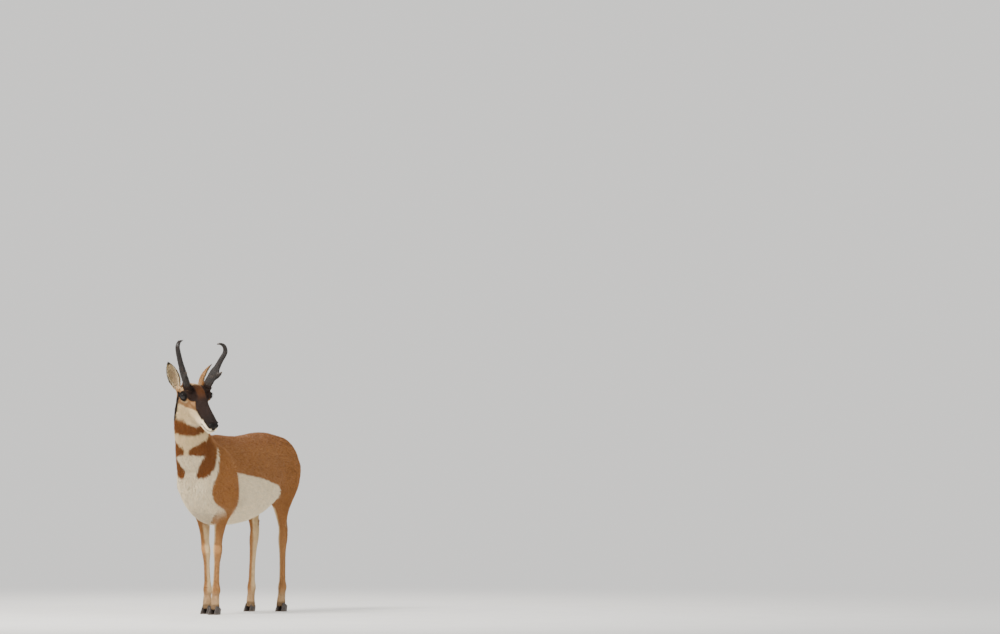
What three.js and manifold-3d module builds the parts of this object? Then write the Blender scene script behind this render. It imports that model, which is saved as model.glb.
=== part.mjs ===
// A standing pronghorn buck, life size, in winter coat, head turned to its left.
// Millimetres, +Z up. The animal faces -Y and its left side is +X. The ground is z = 0.
// The body is a set of lofts: closed stacks of super-ellipse sections whose sizes are smooth
// functions of height, length or distance along the head. The lofts reach the tips of the coat.
import * as THREE from "three";
import { mergeVertices } from "three/addons/utils/BufferGeometryUtils.js";
import Module from "manifold-3d";

const wasm = await Module();
wasm.setup();

// ---------------------------------------------------------------- driving dimensions
const GAP = 0.35; // clearance between neighbouring pieces
const EYE_HEIGHT = 1026; // eyes above the ground
const EYE_MID = [46, -483]; // point midway between the eyes, seen from above
const HEAD_TURN = 62; // degrees, to the animal's left of its body
const HEAD_PITCH = 42; // degrees, nose below level
const EYE_SPREAD = 62; // eyeball centre from the middle of the head
const EYE_RADIUS = 23.5;
const EAR_LENGTH = 140;
const EAR_WIDTH = 58;
const HOOF_HEIGHT = 46;
const CLAW_WIDTH = 23;
const CLEFT = 3;
const TAIL_LENGTH = 105;

// Feet, seen from above: middle of the hoof. The left fore and left hind stand ahead of and
// behind the others, as a quietly standing animal places them.
const FOOT = {
  fore_L: [46, -284],
  fore_R: [-46, -184],
  hind_L: [66, 372],
  hind_R: [-66, 300],
};
// Where each leg meets the body, along the body.
const HOME = { fore_L: -258, fore_R: -200, hind_L: 345, hind_R: 345 };

// ---------------------------------------------------------------- helpers
const rad = (d) => (d * Math.PI) / 180;
const mix = (a, b, t) => a + (b - a) * t;

// Smooth function through a short table of [at, value] stations.
function along(table) {
  const n = table.length;
  const slope = table.map((p, i) => {
    const a = table[Math.max(i - 1, 0)];
    const b = table[Math.min(i + 1, n - 1)];
    return (b[1] - a[1]) / (b[0] - a[0]);
  });
  return (q) => {
    if (q <= table[0][0]) return table[0][1];
    if (q >= table[n - 1][0]) return table[n - 1][1];
    let i = 0;
    while (q > table[i + 1][0]) i++;
    const h = table[i + 1][0] - table[i][0];
    const t = (q - table[i][0]) / h;
    const t2 = t * t;
    const t3 = t2 * t;
    return (
      (2 * t3 - 3 * t2 + 1) * table[i][1] +
      (t3 - 2 * t2 + t) * h * slope[i] +
      (3 * t2 - 2 * t3) * table[i + 1][1] +
      (t3 - t2) * h * slope[i + 1]
    );
  };
}

// Rounds the ends of a loft: 1 in the middle, 0 at an end.
function endRound(q, from, to, capFrom, capTo) {
  let e = 1;
  if (capFrom && q < from + capFrom)
    e *= Math.sqrt(Math.max(1 - ((from + capFrom - q) / capFrom) ** 2, 0));
  if (capTo && q > to - capTo)
    e *= Math.sqrt(Math.max(1 - ((q - to + capTo) / capTo) ** 2, 0));
  return e;
}

// Section sizes: half width a, half depth on the two sides bp and bm, exponent n, and how much
// the width narrows towards either side, pp and pm.
function sectionPoint(s, theta, grow) {
  const c = Math.cos(theta);
  const d = Math.sin(theta);
  const k = 2 / (s.n ?? 2);
  const cu = Math.sign(c) * Math.abs(c) ** k;
  const cv = Math.sign(d) * Math.abs(d) ** k;
  const pinch = (cv > 0 ? (s.pp ?? 0) : (s.pm ?? 0)) * cv * cv;
  const u = (s.a + grow) * cu * (1 - pinch);
  const v = ((cv > 0 ? s.bp : s.bm) + grow) * cv;
  return [u, v];
}

// A closed loft: section(q) gives the sizes and the section's middle and axes in space.
function loft({ from, to, rings, sides, section, capFrom = 0, capTo = 0, grow = 0 }) {
  const pos = [];
  const idx = [];
  const qs = [];
  const ends = [];
  for (let k = 1; k <= 3; k++) if (capFrom) ends.push(from + capFrom * (1 - Math.cos((k / 4) * (Math.PI / 2))));
  const startMid = from + capFrom;
  const endMid = to - capTo;
  qs.push(...ends);
  for (let k = 0; k <= rings; k++) qs.push(mix(startMid, endMid, k / rings));
  for (let k = 3; k >= 1; k--) if (capTo) qs.push(to - capTo * (1 - Math.cos((k / 4) * (Math.PI / 2))));
  const put = (m, u, v, du, dv) =>
    pos.push(m[0] + u[0] * du + v[0] * dv, m[1] + u[1] * du + v[1] * dv, m[2] + u[2] * du + v[2] * dv);
  for (const q of qs) {
    const s = section(q);
    const e = endRound(q, from, to, capFrom, capTo);
    for (let j = 0; j < sides; j++) {
      const [du, dv] = sectionPoint(s, ((j + 0.5) / sides) * 2 * Math.PI, grow);
      put(s.mid, s.u, s.v, du * e, dv * e);
    }
  }
  const n = qs.length;
  for (let i = 0; i < n - 1; i++)
    for (let j = 0; j < sides; j++) {
      const a = i * sides + j;
      const b = i * sides + ((j + 1) % sides);
      idx.push(a, b, b + sides, a, b + sides, a + sides);
    }
  const first = section(from);
  const last = section(to);
  put(first.mid, first.u, first.v, 0, 0);
  put(last.mid, last.u, last.v, 0, 0);
  for (let j = 0; j < sides; j++) {
    const k = (j + 1) % sides;
    idx.push(n * sides, k, j);
    idx.push(n * sides + 1, (n - 1) * sides + j, (n - 1) * sides + k);
  }
  if (grow) {
    // A grown loft is longer too, so both of its ends move out along its axis.
    const push = (ring, centre, mid, inner) => {
      const d = new THREE.Vector3(...mid).sub(new THREE.Vector3(...inner)).normalize().multiplyScalar(grow * 1.5);
      for (const k of [...Array(sides).keys()].map((j) => ring * sides + j).concat(centre)) {
        pos[k * 3] += d.x;
        pos[k * 3 + 1] += d.y;
        pos[k * 3 + 2] += d.z;
      }
    };
    push(0, n * sides, first.mid, section(qs[Math.min(2, n - 1)]).mid);
    push(n - 1, n * sides + 1, last.mid, section(qs[n - 3]).mid);
  }
  const g = new THREE.BufferGeometry();
  g.setAttribute("position", new THREE.Float32BufferAttribute(pos, 3));
  g.setIndex(idx);
  return g;
}

// Geometry to solid, turned to face out.
function solid(geometry) {
  const g = geometry.clone();
  g.deleteAttribute("normal");
  g.deleteAttribute("uv");
  const m = mergeVertices(g, 1e-3);
  const p = m.attributes.position.array;
  const tri = new Uint32Array(m.index.array);
  let volume = 0;
  for (let i = 0; i < tri.length; i += 3) {
    const [a, b, c] = [tri[i] * 3, tri[i + 1] * 3, tri[i + 2] * 3];
    volume +=
      p[a] * (p[b + 1] * p[c + 2] - p[b + 2] * p[c + 1]) -
      p[a + 1] * (p[b] * p[c + 2] - p[b + 2] * p[c]) +
      p[a + 2] * (p[b] * p[c + 1] - p[b + 1] * p[c]);
  }
  if (volume < 0)
    for (let i = 0; i < tri.length; i += 3) [tri[i + 1], tri[i + 2]] = [tri[i + 2], tri[i + 1]];
  return new wasm.Manifold(new wasm.Mesh({ numProp: 3, vertProperties: p, triVerts: tri }));
}

// The largest body of a solid, without the crumbs that a boolean can leave.
function whole(s) {
  const parts = s.decompose();
  return parts.reduce((a, b) => (b.volume() > a.volume() ? b : a));
}

// Block that keeps what lies on one side of a plane: everything where (p - at) . normal > 0.
function halfSpace(at, normal) {
  const size = 3000;
  const g = new THREE.BoxGeometry(size, size, size);
  g.translate(0, 0, size / 2);
  const q = new THREE.Quaternion().setFromUnitVectors(
    new THREE.Vector3(0, 0, 1),
    new THREE.Vector3(...normal).normalize(),
  );
  g.applyQuaternion(q);
  g.translate(...at);
  return solid(g);
}

function ellipsoid(mid, radii, axes, segs = 14) {
  const g = new THREE.SphereGeometry(1, segs, Math.max(6, Math.round(segs * 0.6)));
  const m = new THREE.Matrix4().makeBasis(
    new THREE.Vector3(...axes[0]).multiplyScalar(radii[0]),
    new THREE.Vector3(...axes[1]).multiplyScalar(radii[1]),
    new THREE.Vector3(...axes[2]).multiplyScalar(radii[2]),
  );
  m.setPosition(...mid);
  g.applyMatrix4(m);
  return solid(g);
}

// ---------------------------------------------------------------- trunk, a loft along the body
const TRUNK_FROM = -452;
const TRUNK_TO = 468;
const trunkTop = along([
  [-452, 640], [-425, 712], [-380, 768], [-320, 812], [-250, 838], [-185, 844],
  [-90, 838], [20, 836], [120, 842], [220, 851], [300, 851], [370, 832], [425, 788], [468, 722],
]);
const trunkBottom = along([
  [-452, 560], [-425, 520], [-380, 476], [-320, 440], [-250, 420], [-170, 414],
  [-80, 416], [20, 424], [110, 440], [190, 464], [260, 496], [340, 540], [420, 592], [468, 636],
]);
const trunkWide = along([
  [-452, 60], [-420, 80], [-370, 101], [-300, 118], [-220, 130], [-130, 143],
  [-30, 153], [70, 157], [160, 155], [240, 149], [320, 145], [400, 128], [468, 98],
]);
function trunkSection(y) {
  const top = trunkTop(y);
  const bottom = trunkBottom(y);
  const low = along([[-452, 0.5], [-250, 0.44], [0, 0.42], [200, 0.44], [350, 0.5], [468, 0.5]])(y);
  const mid = mix(bottom, top, low);
  return {
    mid: [0, y, mid],
    u: [1, 0, 0],
    v: [0, 0, 1],
    a: trunkWide(y),
    bp: top - mid,
    bm: mid - bottom,
    n: 2.15,
    pp: along([[-452, 0.15], [-330, 0.3], [-200, 0.34], [-50, 0.12], [150, 0.02], [300, 0.02], [468, 0.1]])(y),
    pm: along([[-452, 0.1], [-250, 0.22], [0, 0.1], [200, 0.1], [468, 0.1]])(y),
  };
}
const trunkLoft = (grow) =>
  loft({ from: TRUNK_FROM, to: TRUNK_TO, rings: 17, sides: 22, section: trunkSection, capFrom: 26, capTo: 42, grow });

// ---------------------------------------------------------------- neck, level sections going up
const NECK_FROM = 600;
const NECK_TO = 1052;
const neckFront = along([
  [600, -430], [660, -446], [700, -474], [760, -508], [830, -532], [900, -541], [950, -540], [1000, -528], [1052, -500],
]);
const neckBack = along([
  [600, -220], [700, -226], [770, -236], [810, -256], [850, -302], [900, -345], [950, -374], [1000, -394], [1052, -412],
]);
const neckWide = along([
  [600, 104], [700, 106], [760, 98], [830, 86], [900, 78], [950, 73], [1000, 66], [1052, 50],
]);
const neckTurn = along([[600, 0], [760, 4], [860, 18], [940, 38], [1000, 52], [1052, 60]]);
const neckLean = along([[600, 0], [760, -2], [860, -4], [940, 2], [1000, 8], [1052, 14]]);
function neckSection(z) {
  const turn = rad(neckTurn(z));
  const front = neckFront(z);
  const back = neckBack(z);
  const mid = mix(front, back, 0.48);
  return {
    mid: [neckLean(z), mid, z],
    u: [Math.cos(turn), Math.sin(turn), 0],
    v: [-Math.sin(turn), Math.cos(turn), 0],
    a: neckWide(z),
    bp: back - mid,
    bm: mid - front,
    n: 2.05,
    pp: along([[600, 0.1], [760, 0.22], [900, 0.12], [1052, 0.1]])(z),
    pm: along([[600, 0.1], [760, 0.1], [900, 0.05], [1052, 0.05]])(z),
  };
}
const neckLoft = (grow) =>
  loft({ from: NECK_FROM, to: NECK_TO, rings: 12, sides: 20, section: neckSection, capTo: 30, grow });

// ---------------------------------------------------------------- head, a loft from poll to nose
// The head's own frame: t forward along the face, l to its left, h up from the face.
const turnH = rad(HEAD_TURN);
const pitchH = rad(HEAD_PITCH);
const FORWARD = [Math.sin(turnH), -Math.cos(turnH), 0];
const LEFT = [Math.cos(turnH), Math.sin(turnH), 0];
const T_AXIS = [FORWARD[0] * Math.cos(pitchH), FORWARD[1] * Math.cos(pitchH), -Math.sin(pitchH)];
const H_AXIS = [FORWARD[0] * Math.sin(pitchH), FORWARD[1] * Math.sin(pitchH), Math.cos(pitchH)];
const EYES = [EYE_MID[0], EYE_MID[1], EYE_HEIGHT];
const inHead = (t, l, h) => [0, 1, 2].map((i) => EYES[i] + T_AXIS[i] * t + LEFT[i] * l + H_AXIS[i] * h);
// A point given by its level distance ahead of the eyes, its distance to the left and its height.
const nearHead = (f, l, z) => [
  EYES[0] + FORWARD[0] * f + LEFT[0] * l,
  EYES[1] + FORWARD[1] * f + LEFT[1] * l,
  EYES[2] + z,
];

const HEAD_FROM = -98;
const HEAD_TO = 214;
const headTop = along([
  [-98, -8], [-70, 16], [-35, 40], [0, 47], [30, 42], [60, 36], [100, 30], [140, 26], [175, 22], [198, 17], [214, 6],
]);
const headBottom = along([
  [-98, -46], [-70, -74], [-35, -92], [0, -96], [30, -95], [60, -90], [100, -80], [140, -71], [175, -65], [198, -59], [214, -48],
]);
const headWide = along([
  [-98, 42], [-70, 54], [-35, 60], [0, 60], [30, 52], [60, 43], [100, 35], [140, 31], [175, 30], [198, 28], [214, 22],
]);
function headSection(t) {
  const top = headTop(t);
  const bottom = headBottom(t);
  const mid = mix(bottom, top, along([[-98, 0.5], [0, 0.6], [60, 0.55], [140, 0.5], [214, 0.5]])(t));
  return {
    mid: inHead(t, 0, mid),
    u: LEFT,
    v: H_AXIS,
    a: headWide(t),
    bp: top - mid,
    bm: mid - bottom,
    n: 2.25,
    pp: along([[-98, 0.1], [0, 0.12], [60, 0.28], [140, 0.25], [214, 0.1]])(t),
    pm: along([[-98, 0.2], [0, 0.34], [60, 0.36], [140, 0.3], [214, 0.3]])(t),
  };
}
const headLoft = () =>
  loft({ from: HEAD_FROM, to: HEAD_TO, rings: 13, sides: 18, section: headSection, capFrom: 26, capTo: 16 });

// Bony rims that carry the eyes, the cheek muscles and the brow under the horns.
function headExtras() {
  const list = [];
  for (const s of [1, -1]) {
    const out = [LEFT[0] * s, LEFT[1] * s, 0];
    list.push(ellipsoid(inHead(-2, s * 49, 1), [27, 31, 27], [out, T_AXIS, H_AXIS], 11));
    list.push(ellipsoid(inHead(-22, s * 48, 30), [19, 24, 17], [out, T_AXIS, H_AXIS], 9));
    list.push(ellipsoid(inHead(-14, s * 38, -46), [25, 46, 40], [out, T_AXIS, H_AXIS], 9));
  }
  return list;
}

// ---------------------------------------------------------------- horns
// Each is a flattened blade to the height of its forward prong and round above it, leaning
// outward, with the tip hooked in and back. The two differ a little, as in life.
const HORN = {
  L: { path: [[6, 53, 36], [13, 62, 58], [24, 86, 104], [37, 116, 164], [48, 134, 204], [46, 129, 230], [38, 116, 241], [28, 100, 240]] },
  R: { path: [[6, 53, 36], [13, 62, 58], [23, 86, 104], [36, 114, 164], [47, 132, 204], [50, 137, 228], [44, 124, 249], [34, 96, 258]] },
};
const hornSide = along([[0, 16.5], [0.2, 15.5], [0.36, 14.5], [0.48, 13.2], [0.7, 12], [0.88, 8.8], [1, 2.8]]);
const hornDeep = along([[0, 25], [0.2, 26], [0.32, 26], [0.44, 17], [0.56, 14], [0.75, 12.5], [0.9, 8.8], [1, 2.8]]);
function hornLoft(side, grow = 0, rings = 16, sides = 8) {
  const s = side === "L" ? 1 : -1;
  const curve = new THREE.CatmullRomCurve3(
    HORN[side].path.map(([f, l, z]) => new THREE.Vector3(...nearHead(f, s * l, z))),
    false,
    "centripetal",
  );
  const ahead = new THREE.Vector3(...FORWARD)
    .multiplyScalar(Math.cos(rad(20)))
    .addScaledVector(new THREE.Vector3(...LEFT), s * Math.sin(rad(20)));
  const section = (q) => {
    const p = curve.getPointAt(Math.min(Math.max(q, 0), 1));
    const tan = curve.getTangentAt(Math.min(Math.max(q, 0), 1));
    const v = ahead.clone().addScaledVector(tan, -ahead.dot(tan)).normalize();
    const u = new THREE.Vector3().crossVectors(v, tan).normalize();
    return { mid: p.toArray(), u: u.toArray(), v: v.toArray(), a: hornSide(q), bp: hornDeep(q), bm: hornDeep(q) * 0.92, n: 2.1, pp: 0.25, pm: 0.1 };
  };
  return loft({ from: 0, to: 1, rings, sides, section, capTo: 0.02, grow });
}
function prongLoft(side) {
  const s = side === "L" ? 1 : -1;
  const ahead = new THREE.Vector3(...FORWARD)
    .multiplyScalar(Math.cos(rad(20)))
    .addScaledVector(new THREE.Vector3(...LEFT), s * Math.sin(rad(20)));
  const root = new THREE.Vector3(...nearHead(22, s * 83, 92));
  const curve = new THREE.CatmullRomCurve3([
    root.clone().addScaledVector(ahead, 4),
    root.clone().addScaledVector(ahead, 24).add(new THREE.Vector3(0, 0, 3)),
    root.clone().addScaledVector(ahead, 40).add(new THREE.Vector3(0, 0, 9)),
    root.clone().addScaledVector(ahead, 51).add(new THREE.Vector3(0, 0, 19)),
  ]);
  const wide = along([[0, 10], [0.5, 8], [0.85, 4.6], [1, 2.2]]);
  const tall = along([[0, 24], [0.5, 13.5], [0.85, 5.5], [1, 2.2]]);
  const section = (q) => {
    const p = curve.getPointAt(Math.min(Math.max(q, 0), 1));
    const tan = curve.getTangentAt(Math.min(Math.max(q, 0), 1));
    const up = new THREE.Vector3(0, 0, 1);
    const v = up.clone().addScaledVector(tan, -up.dot(tan)).normalize();
    const u = new THREE.Vector3().crossVectors(v, tan).normalize();
    return { mid: p.toArray(), u: u.toArray(), v: v.toArray(), a: wide(q), bp: tall(q), bm: tall(q), n: 2 };
  };
  return loft({ from: 0, to: 1, rings: 4, sides: 8, section, capTo: 0.03 });
}

// ---------------------------------------------------------------- ears
// A leaf-shaped cup: an outer loft less an inner hollow, opening outward and forward.
const EAR = {
  R: { base: [-52, 64, 26], tip: [-62, 116, 160], open: 42 },
  L: { base: [-52, 62, 26], tip: [-58, 136, 154], open: 62 },
};
const earWide = along([[0, 0.3], [0.15, 0.42], [0.35, 0.5], [0.55, 0.49], [0.75, 0.38], [0.9, 0.21], [1, 0.05]]);
function earLoft(side, hollow, grow = 0) {
  const s = side === "L" ? 1 : -1;
  const e = EAR[side];
  const base = new THREE.Vector3(...nearHead(e.base[0], s * e.base[1], e.base[2]));
  const tip = new THREE.Vector3(...nearHead(e.tip[0], s * e.tip[1], e.tip[2]));
  const axis = tip.clone().sub(base).normalize();
  const facing = new THREE.Vector3(...FORWARD)
    .multiplyScalar(Math.cos(rad(e.open)))
    .addScaledVector(new THREE.Vector3(...LEFT), s * Math.sin(rad(e.open)));
  facing.addScaledVector(axis, -facing.dot(axis)).normalize();
  const across = new THREE.Vector3().crossVectors(axis, facing).normalize();
  const length = EAR_LENGTH;
  const bow = (q) => 7 * Math.sin(Math.PI * q); // the ear curves back a little in its middle
  const section = (q) => {
    const w = EAR_WIDTH * earWide(q);
    const mid = base.clone().addScaledVector(axis, q * length).addScaledVector(facing, -bow(q));
    const deep = w * mix(0.78, 0.5, q);
    if (!hollow) return { mid: mid.toArray(), u: across.toArray(), v: facing.toArray(), a: w, bp: 2.2, bm: deep, n: 2, pm: 0 };
    const wi = Math.max(w - 4, 0.6);
    return { mid: mid.toArray(), u: across.toArray(), v: facing.toArray(), a: wi, bp: 26, bm: Math.max(deep - 4.2, 0.5), n: 2, pm: 0 };
  };
  return hollow
    ? loft({ from: 0.16, to: 0.97, rings: 6, sides: 10, section, capFrom: 0.05, grow })
    : loft({ from: -0.1, to: 1, rings: 7, sides: 12, section, capTo: 0.02, grow });
}

// ---------------------------------------------------------------- legs, level sections going up
// Heights are above the ground; "ahead" and "behind" are the front and rear outline of the leg
// measured from the line over the hoof, "out" how far its middle stands outside the hoof's line.
const FORE_FROM = 24;
const FORE_TO = 600;
const foreFront = along([
  [24, -26], [60, -22], [90, -16], [118, -17], [150, -12], [240, -11], [275, -15], [305, -21], [335, -21],
  [370, -23], [420, -31], [470, -44], [520, -62], [600, -78],
]);
const foreBack = along([
  [24, 24], [60, 20], [90, 23], [116, 30], [145, 22], [240, 19], [275, 24], [302, 26], [335, 21],
  [370, 27], [420, 40], [465, 58], [505, 74], [560, 82], [600, 84],
]);
const foreWide = along([
  [24, 22], [60, 20], [90, 18], [114, 20.5], [150, 15.5], [240, 14.5], [280, 19], [305, 21.5], [335, 20],
  [370, 21], [420, 27], [470, 36], [520, 44], [600, 50],
]);
const foreOut = along([[24, 0], [300, 4], [420, 12], [520, 32], [600, 44]]);
// The column of the leg runs up to the shoulder: slope from hoof to elbow along the body.
function legSection(side, end) {
  const s = side === "L" ? 1 : -1;
  const [fx, fy] = FOOT[end + "_" + side];
  const home = HOME[end + "_" + side];
  const [front, back, wide, out, top] =
    end === "fore" ? [foreFront, foreBack, foreWide, foreOut, 470] : [hindFront, hindBack, hindWide, hindOut, 560];
  return (z) => {
    const slide = Math.min(Math.max((z - 60) / (top - 60), 0), 1);
    const ease = slide * slide * (3 - 2 * slide);
    const y0 = mix(fy, home, ease);
    const mid = (front(z) + back(z)) / 2;
    return {
      mid: [fx + s * out(z), y0 + mid, z],
      u: [1, 0, 0],
      v: [0, 1, 0],
      a: wide(z),
      bp: back(z) - mid,
      bm: mid - front(z),
      n: 2.1,
      pp: 0.1,
      pm: 0,
    };
  };
}
const HIND_FROM = 24;
const HIND_TO = 730;
const hindFront = along([
  [24, -27], [60, -22], [90, -15], [118, -14], [150, -8], [240, -4], [290, -4], [330, -7], [370, -7], [400, -10],
  [440, -23], [480, -49], [520, -85], [560, -118], [610, -138], [670, -134], [730, -110],
]);
const hindBack = along([
  [24, 22], [60, 20], [90, 25], [116, 33], [145, 27], [240, 29], [290, 33], [330, 43], [365, 53], [392, 57],
  [415, 47], [440, 41], [480, 52], [520, 76], [560, 98], [610, 116], [670, 121], [730, 110],
]);
const hindWide = along([
  [24, 21], [60, 19], [90, 17.5], [114, 20], [150, 15], [240, 14.5], [300, 17], [340, 21], [380, 19],
  [410, 20], [450, 26], [500, 36], [560, 47], [620, 55], [680, 58], [730, 54],
]);
const hindOut = along([[24, -4], [200, 0], [360, 4], [480, 10], [600, 24], [730, 28]]);

const legLoft = (side, end, grow = 0) =>
  end === "fore"
    ? loft({ from: FORE_FROM, to: FORE_TO, rings: 17, sides: 10, section: legSection(side, end), capTo: 40, grow })
    : loft({ from: HIND_FROM, to: HIND_TO, rings: 19, sides: 10, section: legSection(side, end), capTo: 50, grow });

// ---------------------------------------------------------------- hooves
// Two claws to a foot, each pointed in front, flat on the sole and on its inner face.
const clawLong = along([[0, 61], [20, 57], [46, 47]]);
const clawWide = along([[0, 1], [12, 1], [46, 0.86]]);
function clawLoft(side, end, inner) {
  const [fx, fy] = FOOT[end + "_" + side];
  const s = (side === "L" ? 1 : -1) * (inner ? -1 : 1);
  const size = end === "fore" ? 1.04 : 0.97;
  const splay = rad(4) * s;
  const section = (z) => {
    const long = clawLong(z) * size;
    const wide = CLAW_WIDTH * clawWide(z) * size;
    const x = fx + s * (CLEFT / 2 + wide / 2);
    const y = fy - 8 + z * 0.42;
    return {
      mid: [x + Math.sin(splay) * 8, y, z],
      u: [Math.cos(splay), Math.sin(splay), 0],
      v: [-Math.sin(splay), Math.cos(splay), 0],
      a: wide / 2,
      bp: long * 0.45,
      bm: long * 0.55,
      n: 2.4,
      pp: 0.12,
      pm: 0.55,
    };
  };
  return loft({ from: 0, to: HOOF_HEIGHT, rings: 2, sides: 10, section });
}
// The coronet, where hair meets hoof, falls from the front of the foot to the heel.
const coronet = (side, end, lift) => {
  const [fx, fy] = FOOT[end + "_" + side];
  return [[fx, fy, 33 + lift], [0, 0.34, 1]];
};

// ---------------------------------------------------------------- tail
function tailLoft(grow = 0) {
  const curve = new THREE.CatmullRomCurve3([
    new THREE.Vector3(0, 424, 806),
    new THREE.Vector3(0, 460, 791),
    new THREE.Vector3(0, 475, 754),
    new THREE.Vector3(0, 471, 806 - TAIL_LENGTH - 8),
  ]);
  const wide = along([[0, 21], [0.3, 23], [0.7, 21], [0.9, 13], [1, 5]]);
  const deep = along([[0, 12], [0.3, 14], [0.7, 12], [0.9, 8], [1, 4]]);
  const section = (q) => {
    const p = curve.getPointAt(Math.min(Math.max(q, 0), 1));
    const tan = curve.getTangentAt(Math.min(Math.max(q, 0), 1));
    const u = new THREE.Vector3(1, 0, 0);
    const v = new THREE.Vector3().crossVectors(tan, u).normalize();
    return { mid: p.toArray(), u: u.toArray(), v: v.toArray(), a: wide(q), bp: deep(q), bm: deep(q), n: 2 };
  };
  return loft({ from: 0, to: 1, rings: 6, sides: 10, section, capTo: 0.05, grow });
}

// ---------------------------------------------------------------- putting it together
const eyeSolid = (s, grow) =>
  ellipsoid(inHead(0, s * EYE_SPREAD, 0), [1, 1, 1].map(() => EYE_RADIUS + grow), [T_AXIS, LEFT, H_AXIS], 12);

const solids = {};
const legs = {};
for (const side of ["L", "R"])
  for (const end of ["fore", "hind"]) {
    const leg = solid(legLoft(side, end));
    const above = halfSpace(...coronet(side, end, GAP));
    legs[end + "_" + side] = whole(leg.intersect(above));
    for (const inner of [true, false]) {
      const claw = solid(clawLoft(side, end, inner));
      solids[`hoof_${end}_${side}_${inner ? "inner" : "outer"}`] = whole(claw.subtract(halfSpace(...coronet(side, end, 0))));
    }
  }

const horns = {};
const ears = {};
for (const side of ["L", "R"]) {
  horns[side] = solid(hornLoft(side)).add(solid(prongLoft(side)));
  ears[side] = solid(earLoft(side, false)).subtract(solid(earLoft(side, true)));
}

// The body without its limbs, as one solid, then parted by two thin plane cuts.
let core = solid(trunkLoft(0)).add(solid(neckLoft(0))).add(solid(headLoft()));
for (const extra of headExtras()) core = core.add(extra);
for (const side of ["L", "R"]) {
  for (const end of ["fore", "hind"]) core = core.subtract(solid(legLoft(side, end, GAP)));
  core = core.subtract(solid(hornLoft(side, GAP)));
  core = core.subtract(solid(earLoft(side, false, GAP)));
  core = core.subtract(eyeSolid(side === "L" ? 1 : -1, GAP));
}
core = core.subtract(solid(tailLoft(GAP)));

const neckBase = { at: [0, -340, 752], normal: [0, -0.66, 0.75] };
const headBase = { at: inHead(-30, 0, -97), normal: [0, 1, 2].map((i) => T_AXIS[i] * 0.1 + H_AXIS[i] * 0.995) };
const shifted = (plane, by) => {
  const n = new THREE.Vector3(...plane.normal).normalize();
  return [plane.at.map((c, i) => c + n.getComponent(i) * by), plane.normal];
};
const aheadOfHeadCut = halfSpace(...shifted(headBase, GAP / 2));
const aboveNeckCut = halfSpace(...shifted(neckBase, GAP / 2));
const belowNeckCut = halfSpace(...shifted(neckBase, -GAP / 2));
solids.head = whole(core.intersect(aheadOfHeadCut));
solids.neck = whole(core.intersect(aboveNeckCut).subtract(halfSpace(...shifted(headBase, -GAP / 2))));
solids.trunk = whole(core.subtract(belowNeckCut));

for (const k of Object.keys(legs)) solids[k.replace(/^(fore|hind)_/, "$1leg_")] = legs[k];
for (const side of ["L", "R"]) {
  solids["horn_" + side] = whole(horns[side]);
  solids["ear_" + side] = whole(ears[side].subtract(solid(hornLoft(side, GAP))));
  solids["eye_" + side] = eyeSolid(side === "L" ? 1 : -1, 0);
}
solids.tail = whole(solid(tailLoft()));

// ---------------------------------------------------------------- materials and the group
const finish = (color, roughness) => new THREE.MeshStandardMaterial({ color, roughness, metalness: 0 });
const COAT = finish(0x9a643c, 0.9);
const WHITE_COAT = finish(0xe9e2d2, 0.9);
const FACE = finish(0x5b4334, 0.85);
const HORN_FINISH = finish(0x241d1a, 0.55);
const HOOF_FINISH = finish(0x2b2522, 0.5);
const EYE_FINISH = finish(0x0c0908, 0.08);
const look = (name) =>
  name.startsWith("horn") ? HORN_FINISH
  : name.startsWith("hoof") ? HOOF_FINISH
  : name.startsWith("eye") ? EYE_FINISH
  : name === "head" ? FACE
  : name === "tail" ? WHITE_COAT
  : COAT;

const animal = new THREE.Group();
const box = new THREE.Box3();
for (const [name, s] of Object.entries(solids)) {
  const m = s.getMesh();
  const g = new THREE.BufferGeometry();
  const n = m.numProp;
  const p = new Float32Array(m.numVert * 3);
  for (let i = 0; i < m.numVert; i++) p.set(m.vertProperties.subarray(i * n, i * n + 3), i * 3);
  g.setAttribute("position", new THREE.BufferAttribute(p, 3));
  g.setIndex(new THREE.BufferAttribute(new Uint32Array(m.triVerts), 1));
  g.computeBoundingBox();
  box.union(g.boundingBox);
  const mesh = new THREE.Mesh(g, look(name));
  mesh.name = name;
  animal.add(mesh);
}
// The origin is under the middle of the animal's box, on the ground.
for (const mesh of animal.children)
  mesh.geometry.translate(-(box.min.x + box.max.x) / 2, -(box.min.y + box.max.y) / 2, -box.min.z);

export default animal;
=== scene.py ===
"""A life-size pronghorn buck: one skin with its coat of tufts, eyes, horns and hooves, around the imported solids."""

import math
import time

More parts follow.
